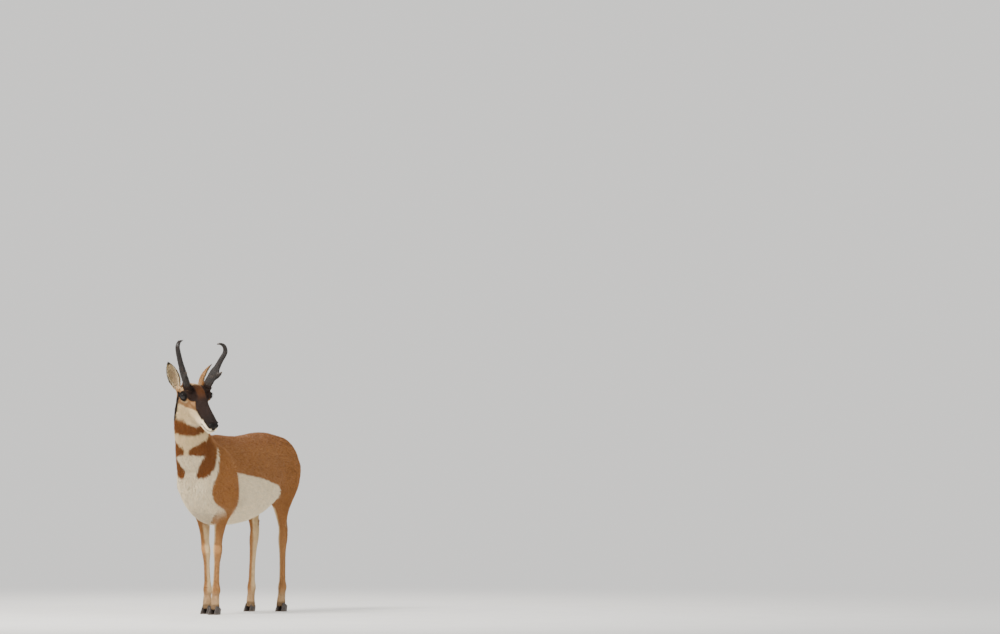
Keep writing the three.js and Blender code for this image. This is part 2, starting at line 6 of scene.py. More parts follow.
import bmesh
import bpy
import numpy as np
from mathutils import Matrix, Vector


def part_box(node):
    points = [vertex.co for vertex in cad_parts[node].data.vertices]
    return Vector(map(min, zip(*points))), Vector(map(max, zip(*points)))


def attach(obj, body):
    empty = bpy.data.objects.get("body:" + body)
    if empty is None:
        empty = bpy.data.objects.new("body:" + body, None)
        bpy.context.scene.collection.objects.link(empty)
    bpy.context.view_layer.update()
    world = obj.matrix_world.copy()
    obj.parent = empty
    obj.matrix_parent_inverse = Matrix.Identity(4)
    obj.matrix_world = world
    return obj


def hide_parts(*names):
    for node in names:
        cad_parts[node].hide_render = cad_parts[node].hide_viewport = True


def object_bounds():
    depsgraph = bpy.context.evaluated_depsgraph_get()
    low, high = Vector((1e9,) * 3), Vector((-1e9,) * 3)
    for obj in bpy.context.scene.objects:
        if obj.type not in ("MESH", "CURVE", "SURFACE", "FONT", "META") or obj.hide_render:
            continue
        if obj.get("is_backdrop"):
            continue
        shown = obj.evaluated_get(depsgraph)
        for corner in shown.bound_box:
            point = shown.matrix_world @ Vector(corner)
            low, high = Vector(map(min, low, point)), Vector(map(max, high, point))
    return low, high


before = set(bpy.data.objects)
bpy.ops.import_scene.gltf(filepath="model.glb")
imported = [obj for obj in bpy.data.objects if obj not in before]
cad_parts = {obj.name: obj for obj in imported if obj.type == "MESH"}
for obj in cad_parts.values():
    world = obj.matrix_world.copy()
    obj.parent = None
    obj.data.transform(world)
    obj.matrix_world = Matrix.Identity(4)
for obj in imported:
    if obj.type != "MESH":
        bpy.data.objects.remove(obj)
CAD_BOX = [list(map(float, c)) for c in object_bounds()]
T0 = time.time()
RNG = np.random.default_rng(7)


def say(*a):
    print("[scene %.1fs]" % (time.time() - T0), *a, flush=True)


# ------------------------------------------------------------------ the animal's measures, in millimetres
EYES = np.array([46.0, -483.0, 1026.0])
HEAD_TURN, HEAD_PITCH = math.radians(62), math.radians(42)
EYE_SPREAD, EYE_RADIUS = 62.0, 23.5
FOOT = {"fore_L": (46, -284), "fore_R": (-46, -184), "hind_L": (66, 372), "hind_R": (-66, 300)}
HOME = {"fore_L": -258, "fore_R": -200, "hind_L": 345, "hind_R": 345}

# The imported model's origin is under the middle of its box: the eyes tell how far that is from the measures above.
_e = [np.array(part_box("eye_" + s), float).mean(0) * 1000 for s in "LR"]
SHIFT = EYES - (_e[0] + _e[1]) / 2
SHIFT[2] = 0.0

FWD = np.array([math.sin(HEAD_TURN), -math.cos(HEAD_TURN), 0.0])
LFT = np.array([math.cos(HEAD_TURN), math.sin(HEAD_TURN), 0.0])
UPZ = np.array([0.0, 0.0, 1.0])
TAX = FWD * math.cos(HEAD_PITCH) - UPZ * math.sin(HEAD_PITCH)
HAX = FWD * math.sin(HEAD_PITCH) + UPZ * math.cos(HEAD_PITCH)


def in_head(t, l, h):
    return EYES + TAX * t + LFT * l + HAX * h


def near_head(f, l, z):
    return EYES + FWD * f + LFT * l + UPZ * z


def to_head(P):
    d = P - EYES
    return d @ TAX, d @ LFT, d @ HAX


def to_model(P):
    return (P - SHIFT) / 1000.0


def along(table):
    """A smooth function through a short table of (at, value) stations."""
    q, v = np.array(table, float).T
    s = np.empty_like(v)
    s[1:-1] = (v[2:] - v[:-2]) / (q[2:] - q[:-2])
    s[0] = (v[1] - v[0]) / (q[1] - q[0])
    s[-1] = (v[-1] - v[-2]) / (q[-1] - q[-2])

    def f(x):
        x = np.clip(np.asarray(x, float), q[0], q[-1])
        i = np.clip(np.searchsorted(q, x, side="right") - 1, 0, len(q) - 2)
        h = q[i + 1] - q[i]
        t = (x - q[i]) / h
        t2, t3 = t * t, t * t * t
        return (2 * t3 - 3 * t2 + 1) * v[i] + (t3 - 2 * t2 + t) * h * s[i] + (3 * t2 - 2 * t3) * v[i + 1] + (t3 - t2) * h * s[i + 1]

    return f


def mix(a, b, t):
    return a + (b - a) * t


def step(a, b, x):
    t = np.clip((x - a) / (b - a), 0, 1)
    return t * t * (3 - 2 * t)


# Trunk
TRUNK = (-452.0, 468.0, 26.0, 42.0)
trunk_top = along([(-452, 640), (-425, 712), (-380, 768), (-320, 812), (-250, 838), (-185, 844), (-90, 838), (20, 836), (120, 842), (220, 851), (300, 851), (370, 832), (425, 788), (468, 722)])
trunk_bottom = along([(-452, 560), (-425, 520), (-380, 476), (-320, 440), (-250, 420), (-170, 414), (-80, 416), (20, 424), (110, 440), (190, 464), (260, 496), (340, 540), (420, 592), (468, 636)])
trunk_wide = along([(-452, 60), (-420, 80), (-370, 101), (-300, 118), (-220, 130), (-130, 143), (-30, 153), (70, 157), (160, 155), (240, 149), (320, 145), (400, 128), (468, 98)])
trunk_low = along([(-452, 0.5), (-250, 0.44), (0, 0.42), (200, 0.44), (350, 0.5), (468, 0.5)])
trunk_pp = along([(-452, 0.15), (-330, 0.3), (-200, 0.34), (-50, 0.12), (150, 0.02), (300, 0.02), (468, 0.1)])
trunk_pm = along([(-452, 0.1), (-250, 0.22), (0, 0.1), (200, 0.1), (468, 0.1)])
# Neck
NECK = (600.0, 1052.0, 0.0, 30.0)
neck_front = along([(600, -430), (660, -446), (700, -474), (760, -508), (830, -532), (900, -541), (950, -540), (1000, -528), (1052, -500)])
neck_back = along([(600, -220), (700, -226), (770, -236), (810, -256), (850, -302), (900, -345), (950, -374), (1000, -394), (1052, -412)])
neck_wide = along([(600, 104), (700, 106), (760, 98), (830, 86), (900, 78), (950, 73), (1000, 66), (1052, 50)])
neck_turn = along([(600, 0), (760, 4), (860, 18), (940, 38), (1000, 52), (1052, 60)])
neck_lean = along([(600, 0), (760, -2), (860, -4), (940, 2), (1000, 8), (1052, 14)])
neck_pp = along([(600, 0.1), (760, 0.22), (900, 0.12), (1052, 0.1)])
neck_pm = along([(600, 0.1), (760, 0.1), (900, 0.05), (1052, 0.05)])
# Head
HEAD = (-98.0, 214.0, 26.0, 16.0)
head_top = along([(-98, -8), (-70, 16), (-35, 40), (0, 47), (30, 42), (60, 36), (100, 30), (140, 26), (175, 22), (198, 17), (214, 6)])
head_bottom = along([(-98, -46), (-70, -74), (-35, -92), (0, -96), (30, -95), (60, -90), (100, -80), (140, -71), (175, -65), (198, -59), (214, -48)])
head_wide = along([(-98, 42), (-70, 54), (-35, 60), (0, 60), (30, 52), (60, 43), (100, 35), (140, 31), (175, 30), (198, 28), (214, 22)])
head_mid = along([(-98, 0.5), (0, 0.6), (60, 0.55), (140, 0.5), (214, 0.5)])
head_pp = along([(-98, 0.1), (0, 0.12), (60, 0.28), (140, 0.25), (214, 0.1)])
head_pm = along([(-98, 0.2), (0, 0.34), (60, 0.36), (140, 0.3), (214, 0.3)])
# Legs
FORE = (24.0, 600.0, 0.0, 40.0)
fore_front = along([(24, -26), (60, -22), (90, -16), (118, -17), (150, -12), (240, -11), (275, -15), (305, -21), (335, -21), (370, -23), (420, -31), (470, -44), (520, -62), (600, -78)])
fore_back = along([(24, 24), (60, 20), (90, 23), (116, 30), (145, 22), (240, 19), (275, 24), (302, 26), (335, 21), (370, 27), (420, 40), (465, 58), (505, 74), (560, 82), (600, 84)])
fore_wide = along([(24, 22), (60, 20), (90, 18), (114, 20.5), (150, 15.5), (240, 14.5), (280, 19), (305, 21.5), (335, 20), (370, 21), (420, 27), (470, 36), (520, 44), (600, 50)])
fore_out = along([(24, 0), (300, 4), (420, 12), (520, 32), (600, 44)])
HIND = (24.0, 730.0, 0.0, 50.0)
hind_front = along([(24, -27), (60, -22), (90, -15), (118, -14), (150, -8), (240, -4), (290, -4), (330, -7), (370, -7), (400, -10), (440, -23), (480, -49), (520, -85), (560, -118), (610, -138), (670, -134), (730, -110)])
hind_back = along([(24, 22), (60, 20), (90, 25), (116, 33), (145, 27), (240, 29), (290, 33), (330, 43), (365, 53), (392, 57), (415, 47), (440, 41), (480, 52), (520, 76), (560, 98), (610, 116), (670, 121), (730, 110)])
hind_wide = along([(24, 21), (60, 19), (90, 17.5), (114, 20), (150, 15), (240, 14.5), (300, 17), (340, 21), (380, 19), (410, 20), (450, 26), (500, 36), (560, 47), (620, 55), (680, 58), (730, 54)])
hind_out = along([(24, -4), (200, 0), (360, 4), (480, 10), (600, 24), (730, 28)])


# ------------------------------------------------------------------ the body as one implicit surface
def section_distance(q, u, v, span, a, bp, bm, n, pp, pm):
    """Roughly the distance to a loft of super-ellipse sections, negative inside."""
    q0, q1, c0, c1 = span
    qc = np.clip(q, q0 + 0.5, q1 - 0.5)
    e = np.ones_like(q)
    if c0:
        e = np.where(qc < q0 + c0, np.sqrt(np.clip(1 - ((q0 + c0 - qc) / c0) ** 2, 1e-4, 1)), e)
    if c1:
        e = e * np.where(qc > q1 - c1, np.sqrt(np.clip(1 - ((qc - q1 + c1) / c1) ** 2, 1e-4, 1)), 1)
    b = np.where(v > 0, bp, bm) * e
    s = v / b
    pinch = np.where(v > 0, pp, pm) * np.clip(s * s, 0, 1)
    w = a * e * (1 - pinch)
    f = (np.abs(u / w) ** n + np.abs(s) ** n) ** (1 / n)
    rho = np.hypot(u, v)
    d = np.where(f > 1e-3, rho * (1 - 1 / np.maximum(f, 1e-3)), -np.minimum(w, b))
    d = np.maximum(d, -np.minimum(w, b) * 1.2)
    over = np.maximum(q0 - q, q - q1)
    return np.where(over > 0, np.hypot(np.maximum(d, 0), over), d)


def sd_trunk(P):
    y = np.clip(P[:, 1], TRUNK[0], TRUNK[1])
    top, bottom = trunk_top(y), trunk_bottom(y)
    mid = mix(bottom, top, trunk_low(y))
    return section_distance(P[:, 1], P[:, 0], P[:, 2] - mid, TRUNK, trunk_wide(y), top - mid, mid - bottom, 2.15, trunk_pp(y), trunk_pm(y))


def neck_local(P):
    z = np.clip(P[:, 2], NECK[0], NECK[1])
    front, back = neck_front(z), neck_back(z)
    mid = mix(front, back, 0.48)
    a = np.radians(neck_turn(z))
    dx, dy = P[:, 0] - neck_lean(z), P[:, 1] - mid
    return z, dx * np.cos(a) + dy * np.sin(a), -dx * np.sin(a) + dy * np.cos(a), front, back, mid


def sd_neck(P):
    z, u, v, front, back, mid = neck_local(P)
    return section_distance(P[:, 2], u, v, NECK, neck_wide(z), back - mid, mid - front, 2.05, neck_pp(z), neck_pm(z))


def sd_ellipsoid(x, y, z, r):
    k0 = np.sqrt((x / r[0]) ** 2 + (y / r[1]) ** 2 + (z / r[2]) ** 2)
    k1 = np.sqrt((x / r[0] ** 2) ** 2 + (y / r[1] ** 2) ** 2 + (z / r[2] ** 2) ** 2)
    return k0 * (k0 - 1) / np.maximum(k1, 1e-6)


def smin(a, b, k):
    h = np.clip(0.5 + 0.5 * (b - a) / k, 0, 1)
    return b * (1 - h) + a * h - k * h * (1 - h)


def smax(a, b, k):
    return -smin(-a, -b, k)


EYE_OUT = {}
for _s, _n in ((1, "L"), (-1, "R")):
    _v = LFT * _s * 0.90 + TAX * 0.34 + HAX * 0.10
    EYE_OUT[_n] = _v / np.linalg.norm(_v)


def sd_head(P, fine=True):
    t, l, h = to_head(P)
    tc = np.clip(t, HEAD[0], HEAD[1])
    top, bottom = head_top(tc), head_bottom(tc)
    mid = mix(bottom, top, head_mid(tc))
    d = section_distance(t, l, h - mid, HEAD, head_wide(tc), top - mid, mid - bottom, 2.25, head_pp(tc), head_pm(tc))
    al = np.abs(l)
    d = smin(d, sd_ellipsoid(t + 22, al - 48, h - 28, (24, 17, 15)), 12)  # brow, under the horn
    d = smin(d, sd_ellipsoid(t + 26, al - 40, h + 38, (42, 20, 36)), 16)  # cheek muscle
    d = smin(d, sd_ellipsoid(t - 4, al - 46, h - 0, (34, 25, 26)), 10)  # bony orbit
    d = smin(d, sd_ellipsoid(t - 60, al - 28, h + 10, (50, 14, 12)), 14)  # ridge from eye to nose
    d = smin(d, sd_ellipsoid(t + 9, al - 54, h - 33, (24, 16, 11)), 9)  # swelling round the foot of the horn
    e = P - EYES
    ef, el_, ez = e @ FWD, np.abs(e @ LFT), P[:, 2] - EYES[2]
    d = smin(d, sd_ellipsoid(ef + 52, el_ - 58 - 0.35 * (ez - 22), ez - 22, (17, 15, 25)), 10)  # root of the ear
    if not fine:
        for s in (1, -1):
            d = smin(d, np.linalg.norm(P - in_head(0, s * EYE_SPREAD, 0), axis=1) - (EYE_RADIUS + 2.6), 7)
        return d
    # a hollow along the side of the nose, below that ridge
    d = smax(d, -sd_ellipsoid(t - 96, al - 45, h + 22, (46, 10, 15)), 10)
    # lips: the upper one stands over the lower
    d = smin(d, sd_ellipsoid(t - 178, al - 16, h + 26, (34, 15, 17)), 8)
    # black nose pad, blunt and a little square
    d = smin(d, sd_ellipsoid(t - 202, al - 9, h - 2, (15, 17, 14)), 6)
    # nostrils: a comma that opens forward and to the side
    d = smax(d, -sd_ellipsoid((t - 207) + 0.5 * (al - 14), al - 14.5, (h - 3) + 0.25 * (al - 14), (11, 4.6, 5.2)), 2.5)
    d = smax(d, -sd_ellipsoid(t - 196, al - 24.5, h - 1, (10, 5.0, 2.6)), 2.5)
    # groove from the nose down to the mouth
    d = smax(d, -sd_ellipsoid(t - 218, al, h + 12, (6, 1.5, 10)), 2)
    # mouth: a slit that starts under the nose and runs back to the corner
    mh = -33 - 0.0016 * (208 - t) ** 2 * step(208, 150, t) - 7 * step(165, 140, t)
    slit = np.hypot((h - mh) * 1.0, np.maximum(145 - t, 0)) - 1.3
    slit = np.maximum(slit, 12 - al - 20 * step(190, 208, t))
    d = smax(d, -slit, 2.0)
    for s, n in ((1, "L"), (-1, "R")):
        c = in_head(0, s * EYE_SPREAD, 0)
        q = P - c
        r = np.linalg.norm(q, axis=1)
        near = r < 60
        if not near.any():
            continue
        out = EYE_OUT[n]
        fw = TAX * 0.95 - HAX * 0.18
        fw = fw - out * (fw @ out)
        fw /= np.linalg.norm(fw)
        up = np.cross(out, fw) * s
        up = up if up @ HAX > 0 else -up
        qn = q[near]
        rn = r[near]
        o, f, g = qn @ out, qn @ fw, qn @ up
        ball = rn - (EYE_RADIUS + 2.6)  # the lids
        dn = smin(d[near], ball, 7)
        # the upper lid stands out further, with a fold above it
        dn = smin(dn, sd_ellipsoid(o - 18, f, g - 15.5, (9, 19, 4.5)), 5)
        open_ = np.sqrt((f / 0.76) ** 2 + ((g + 1.0) / np.where(g > -1, 0.53, 0.46)) ** 2) - np.maximum(o, 0) * 1.18 - 1.2
        corner = np.maximum(open_, -o)
        dn = smax(dn, -corner * 0.6, 1.0)
        dn = smax(dn, -(rn - EYE_RADIUS - 0.1), 0.4)
        # tear groove in front of the eye
        dn = smax(dn, -sd_ellipsoid(o - 14, f - 27, g + 7, (6, 9, 1.8)), 3)
        d[near] = dn
    return d


def leg_middle(name, z):
    fx, fy = FOOT[name]
    s = 1 if name.endswith("L") else -1
    fore = name.startswith("fore")
    top = 470 if fore else 560
    t = np.clip((z - 60) / (top - 60), 0, 1)
    y0 = mix(fy, HOME[name], t * t * (3 - 2 * t))
    out = (fore_out if fore else hind_out)(z)
    return fx + s * out, y0


def sd_leg(P, name, fine=True):
    fore = name.startswith("fore")
    span = FORE if fore else HIND
    z = np.clip(P[:, 2], span[0], span[1])
    f, b, w = ((fore_front, fore_back, fore_wide) if fore else (hind_front, hind_back, hind_wide))
    x0, y0 = leg_middle(name, z)
    ff, bb = f(z), b(z)
    m = (ff + bb) / 2
    u, v = P[:, 0] - x0, P[:, 1] - (y0 + m)
    d = section_distance(P[:, 2], u, v, span, w(z), bb - m, m - ff, 2.1, 0.1, 0.0)
    if fine:
        # tendon behind the cannon bone, with a groove between it and the bone
        cannon = step(130, 160, P[:, 2]) * (1 - step(260, 285, P[:, 2]))
        d = d + cannon * 2.2 * np.exp(-(((v - (bb - m) * 0.25) / 4.0) ** 2)) * step(6, 11, np.abs(u))
        if fore:
            # front of the knee is flat with a rounded box of bones
            d = smin(d, sd_ellipsoid(u, v + 8, P[:, 2] - 306, (19, 17, 27)), 8)
        else:
            # point of the hock and its tendon
            d = smin(d, sd_ellipsoid(u, P[:, 1] - (y0 + 46), P[:, 2] - 386, (9, 10, 24)), 9)
            hollow = sd_ellipsoid(np.abs(u) - 16, P[:, 1] - (y0 + 26), P[:, 2] - 430, (7, 9, 30))
            d = smax(d, -hollow, 8)
    return d


TAIL_PTS = np.array([(0, 424, 806), (0, 460, 791), (0, 475, 754), (0, 471, 693)], float)


def sd_tail(P):
    d = np.full(len(P), 1e3)
    pts = np.array([TAIL_PTS[0], (0, 445, 800), TAIL_PTS[1], (0, 470, 774), TAIL_PTS[2], (0, 475, 724), TAIL_PTS[3]])
    rad_ = [13, 14, 15, 15, 14.5, 12, 6]
    for i in range(len(pts) - 1):
        a, b = pts[i], pts[i + 1]
        ab = b - a
        t = np.clip((P - a) @ ab / (ab @ ab), 0, 1)
        q = P - (a + t[:, None] * ab)
        r = mix(rad_[i], rad_[i + 1], t)
        d = smin(d, np.sqrt((q[:, 0] / 1.35) ** 2 + q[:, 1] ** 2 + q[:, 2] ** 2) - r, 6)
    return d


LEGS = ("fore_L", "fore_R", "hind_L", "hind_R")


def body_field(P, fine=True):
    """The outline at the tips of the coat: about the distance to it, negative inside."""
    d = sd_trunk(P)
    x, y, z = P.T
    ax = np.abs(x)
    # shoulder blade and upper arm, haunch, hip bones and the hollow of the flank
    for s, n in ((1, "fore_L"), (-1, "fore_R")):
        home = HOME[n]
        side = np.where(s * x > 0, 0.0, 60.0)
        d = smin(d, sd_ellipsoid(s * x - 74, (y - home - 10) + 0.32 * (z - 640), z - 655, (50, 76, 135)) + side, 34)
    d = smin(d, sd_ellipsoid(ax - 78, (y - 352) + 0.1 * (z - 660), z - 676, (70, 118, 142)), 40)
    neck = sd_neck(P)
    d = smin(d, neck, 46)
    for n in LEGS:
        s = 1 if n.endswith("L") else -1
        leg = sd_leg(P, n, fine)
        near = (s * x > -12)
        k = 30.0
        # a leg only swells into the trunk where it meets it
        d = np.where(near | (leg < 4), smin(d, leg, np.where(z > 430, k, 6.0)), d)
    d = smax(d, -sd_ellipsoid(ax - 172, y - 232, z - 560, (34, 46, 80)), 30)  # flank hollow
    head = sd_head(P, fine)
    d = smin(d, head, 20)
    d = smin(d, sd_tail(P), 8)
    return d


def gradient(f, P, e=0.4):
    g = np.empty_like(P)
    for i in range(3):
        o = np.zeros(3)
        o[i] = e
        g[:, i] = (f(P + o) - f(P - o)) / (2 * e)
    return g


def in_chunks(f, P, size=200000):
    return np.concatenate([f(P[i : i + size]) for i in range(0, len(P), size)]) if len(P) else np.zeros(0)


def sample_grid(f, lo, hi, cell, reach=2.4):
    """Values of f on a fine grid, worked out only near the surface."""
    lo = np.array(lo, float)
    n = [int(math.ceil((h - l) / (2 * cell))) for l, h in zip(lo, hi)]
    ax = [lo[i] + 2 * cell * (np.arange(n[i]) + 0.25) for i in range(3)]
    C = np.stack(np.meshgrid(*ax, indexing="ij"), -1).reshape(-1, 3)
    coarse = in_chunks(f, C).reshape(n)
    big = coarse.repeat(2, 0).repeat(2, 1).repeat(2, 2)
    fx = [lo[i] + cell * np.arange(2 * n[i]) for i in range(3)]
    near = np.argwhere(np.abs(big) < reach * 2 * cell)
    P = np.stack([fx[i][near[:, i]] for i in range(3)], 1)
    big[tuple(near.T)] = in_chunks(f, P)
    return big, fx


def surface_nets(F, fx):
    """Quads over the zero level of a grid of values."""
    neg = F < 0
    s = F.shape
    count = np.zeros(tuple(k - 1 for k in s), np.int8)
    corner = [(i, j, k) for i in (0, 1) for j in (0, 1) for k in (0, 1)]
    for i, j, k in corner:
        count += neg[i : s[0] - 1 + i, j : s[1] - 1 + j, k : s[2] - 1 + k]
    cells = np.argwhere((count > 0) & (count < 8))
    index = np.full(count.shape, -1, np.int64)
    index[tuple(cells.T)] = np.arange(len(cells))
    acc = np.zeros((len(cells), 3))
    num = np.zeros(len(cells))
    for axis in range(3):
        o1, o2 = [a for a in range(3) if a != axis]
        for a in (0, 1):
            for b in (0, 1):
                p = cells.copy()
                p[:, o1] += a
                p[:, o2] += b
                q = p.copy()
                q[:, axis] += 1
                fa, fb = F[tuple(p.T)], F[tuple(q.T)]
                m = (fa < 0) != (fb < 0)
                t = fa[m] / (fa[m] - fb[m])
                pos = p[m].astype(float)
                pos[:, axis] += t
                acc[m] += pos
                num[m] += 1
    acc /= num[:, None]
    V = np.stack([fx[i][0] + acc[:, i] * (fx[i][1] - fx[i][0]) for i in range(3)], 1)
    quads = []
    for axis in range(3):
        o1, o2 = [(1, 2), (2, 0), (0, 1)][axis]
        sl = [slice(1, None)] * 3
        a = [slice(None)] * 3
        b = [slice(None)] * 3
        a[axis] = slice(0, s[axis] - 1)
        b[axis] = slice(1, s[axis])
        change = neg[tuple(a)] != neg[tuple(b)]
        pts = np.argwhere(change)
        ok = (pts[:, o1] > 0) & (pts[:, o2] > 0) & (pts[:, o1] < s[o1] - 1) & (pts[:, o2] < s[o2] - 1)
        pts = pts[ok]
        inside = neg[tuple(pts.T)]
        ring = []
        for d1, d2 in ((0, 0), (-1, 0), (-1, -1), (0, -1)):
            c = pts.copy()
            c[:, o1] += d1
            c[:, o2] += d2
            ring.append(index[tuple(c.T)])
        q = np.stack(ring, 1)
        q[~inside] = q[~inside][:, ::-1]
        quads.append(q)
    return V, np.concatenate(quads)


def make_mesh(name, V, faces, smooth=True):
    """faces: an array of quads or triangles, or a list of both."""
    me = bpy.data.meshes.new(name)
    groups = faces if isinstance(faces, list) else [faces]
    loops = np.concatenate([g.reshape(-1) for g in groups]).astype(np.int32)
    counts = np.concatenate([np.full(len(g), g.shape[1]) for g in groups]).astype(np.int32)
    me.vertices.add(len(V))
    me.vertices.foreach_set("co", np.ascontiguousarray(V, np.float32).reshape(-1))
    me.loops.add(len(loops))
    me.loops.foreach_set("vertex_index", loops)
    me.polygons.add(len(counts))
    me.polygons.foreach_set("loop_start", (np.cumsum(counts) - counts).astype(np.int32))
    me.polygons.foreach_set("loop_total", counts)
    me.update(calc_edges=True)
    me.validate()
    if smooth:
        me.polygons.foreach_set("use_smooth", np.ones(len(me.polygons), bool))
    ob = bpy.data.objects.new(name, me)
    bpy.context.scene.collection.objects.link(ob)
    return ob


def paint(ob, name, rgb):
    a = ob.data.color_attributes.new(name, "FLOAT_COLOR", "POINT")
    c = np.ones((len(rgb), 4), np.float32)
    c[:, :3] = rgb
    a.data.foreach_set("color", c.reshape(-1))


def number(ob, name, v):
    a = ob.data.attributes.new(name, "FLOAT", "POINT")
    a.data.foreach_set("value", np.ascontiguousarray(v, np.float32))


# ------------------------------------------------------------------ colours and markings
def srgb(*c):
    c = np.array(c, float) / 255
    return np.where(c <= 0.04045, c / 12.92, ((c + 0.055) / 1.055) ** 2.4)


TAN = srgb(160, 108, 60)
TAN_BACK = srgb(140, 90, 48)
SHOULDER = srgb(172, 116, 64)
RUST = srgb(128, 76, 34)
DARK_RUST = srgb(84, 48, 26)
CREAM = srgb(236, 210, 163)
WHITE = srgb(244, 227, 193)
PALE = srgb(206, 178, 138)
# grey used as painted shade: the fold behind the elbow and the lower chest between the forelegs
SHADE_GREY = srgb(146, 132, 112)
BLACK = srgb(14, 10, 9)
MASK = srgb(44, 29, 23)
BROWN_BLACK = srgb(38, 22, 15)
FACE_TAN = srgb(168, 126, 84)
LEG_TAN = srgb(178, 130, 82)


def wobble(P, scale, seed=0):
    """Smooth pseudo-noise, about -1 to 1, from a few turned sine waves."""
    r = np.random.default_rng(100 + seed)
    out = np.zeros(len(P))
    for i in range(5):
        k = r.normal(size=3)
        k *= 2 * math.pi / (np.linalg.norm(k) * scale * (0.6 + 0.25 * i))
        out += np.sin(P @ k + r.uniform(0, 6.28)) * np.sin(P @ np.roll(k, 1)[[1, 0, 2]] * 0.7 + r.uniform(0, 6.28))
    return out / 2.6


def lay(base, colour, m):
    return base + (np.asarray(colour) - base) * np.clip(m, 0, 1)[:, None]


def part_distances(P):
    d = {"trunk": sd_trunk(P), "neck": sd_neck(P), "head": sd_head(P, False), "tail": sd_tail(P)}
    for n in LEGS:
        d[n] = sd_leg(P, n, False)
    return d


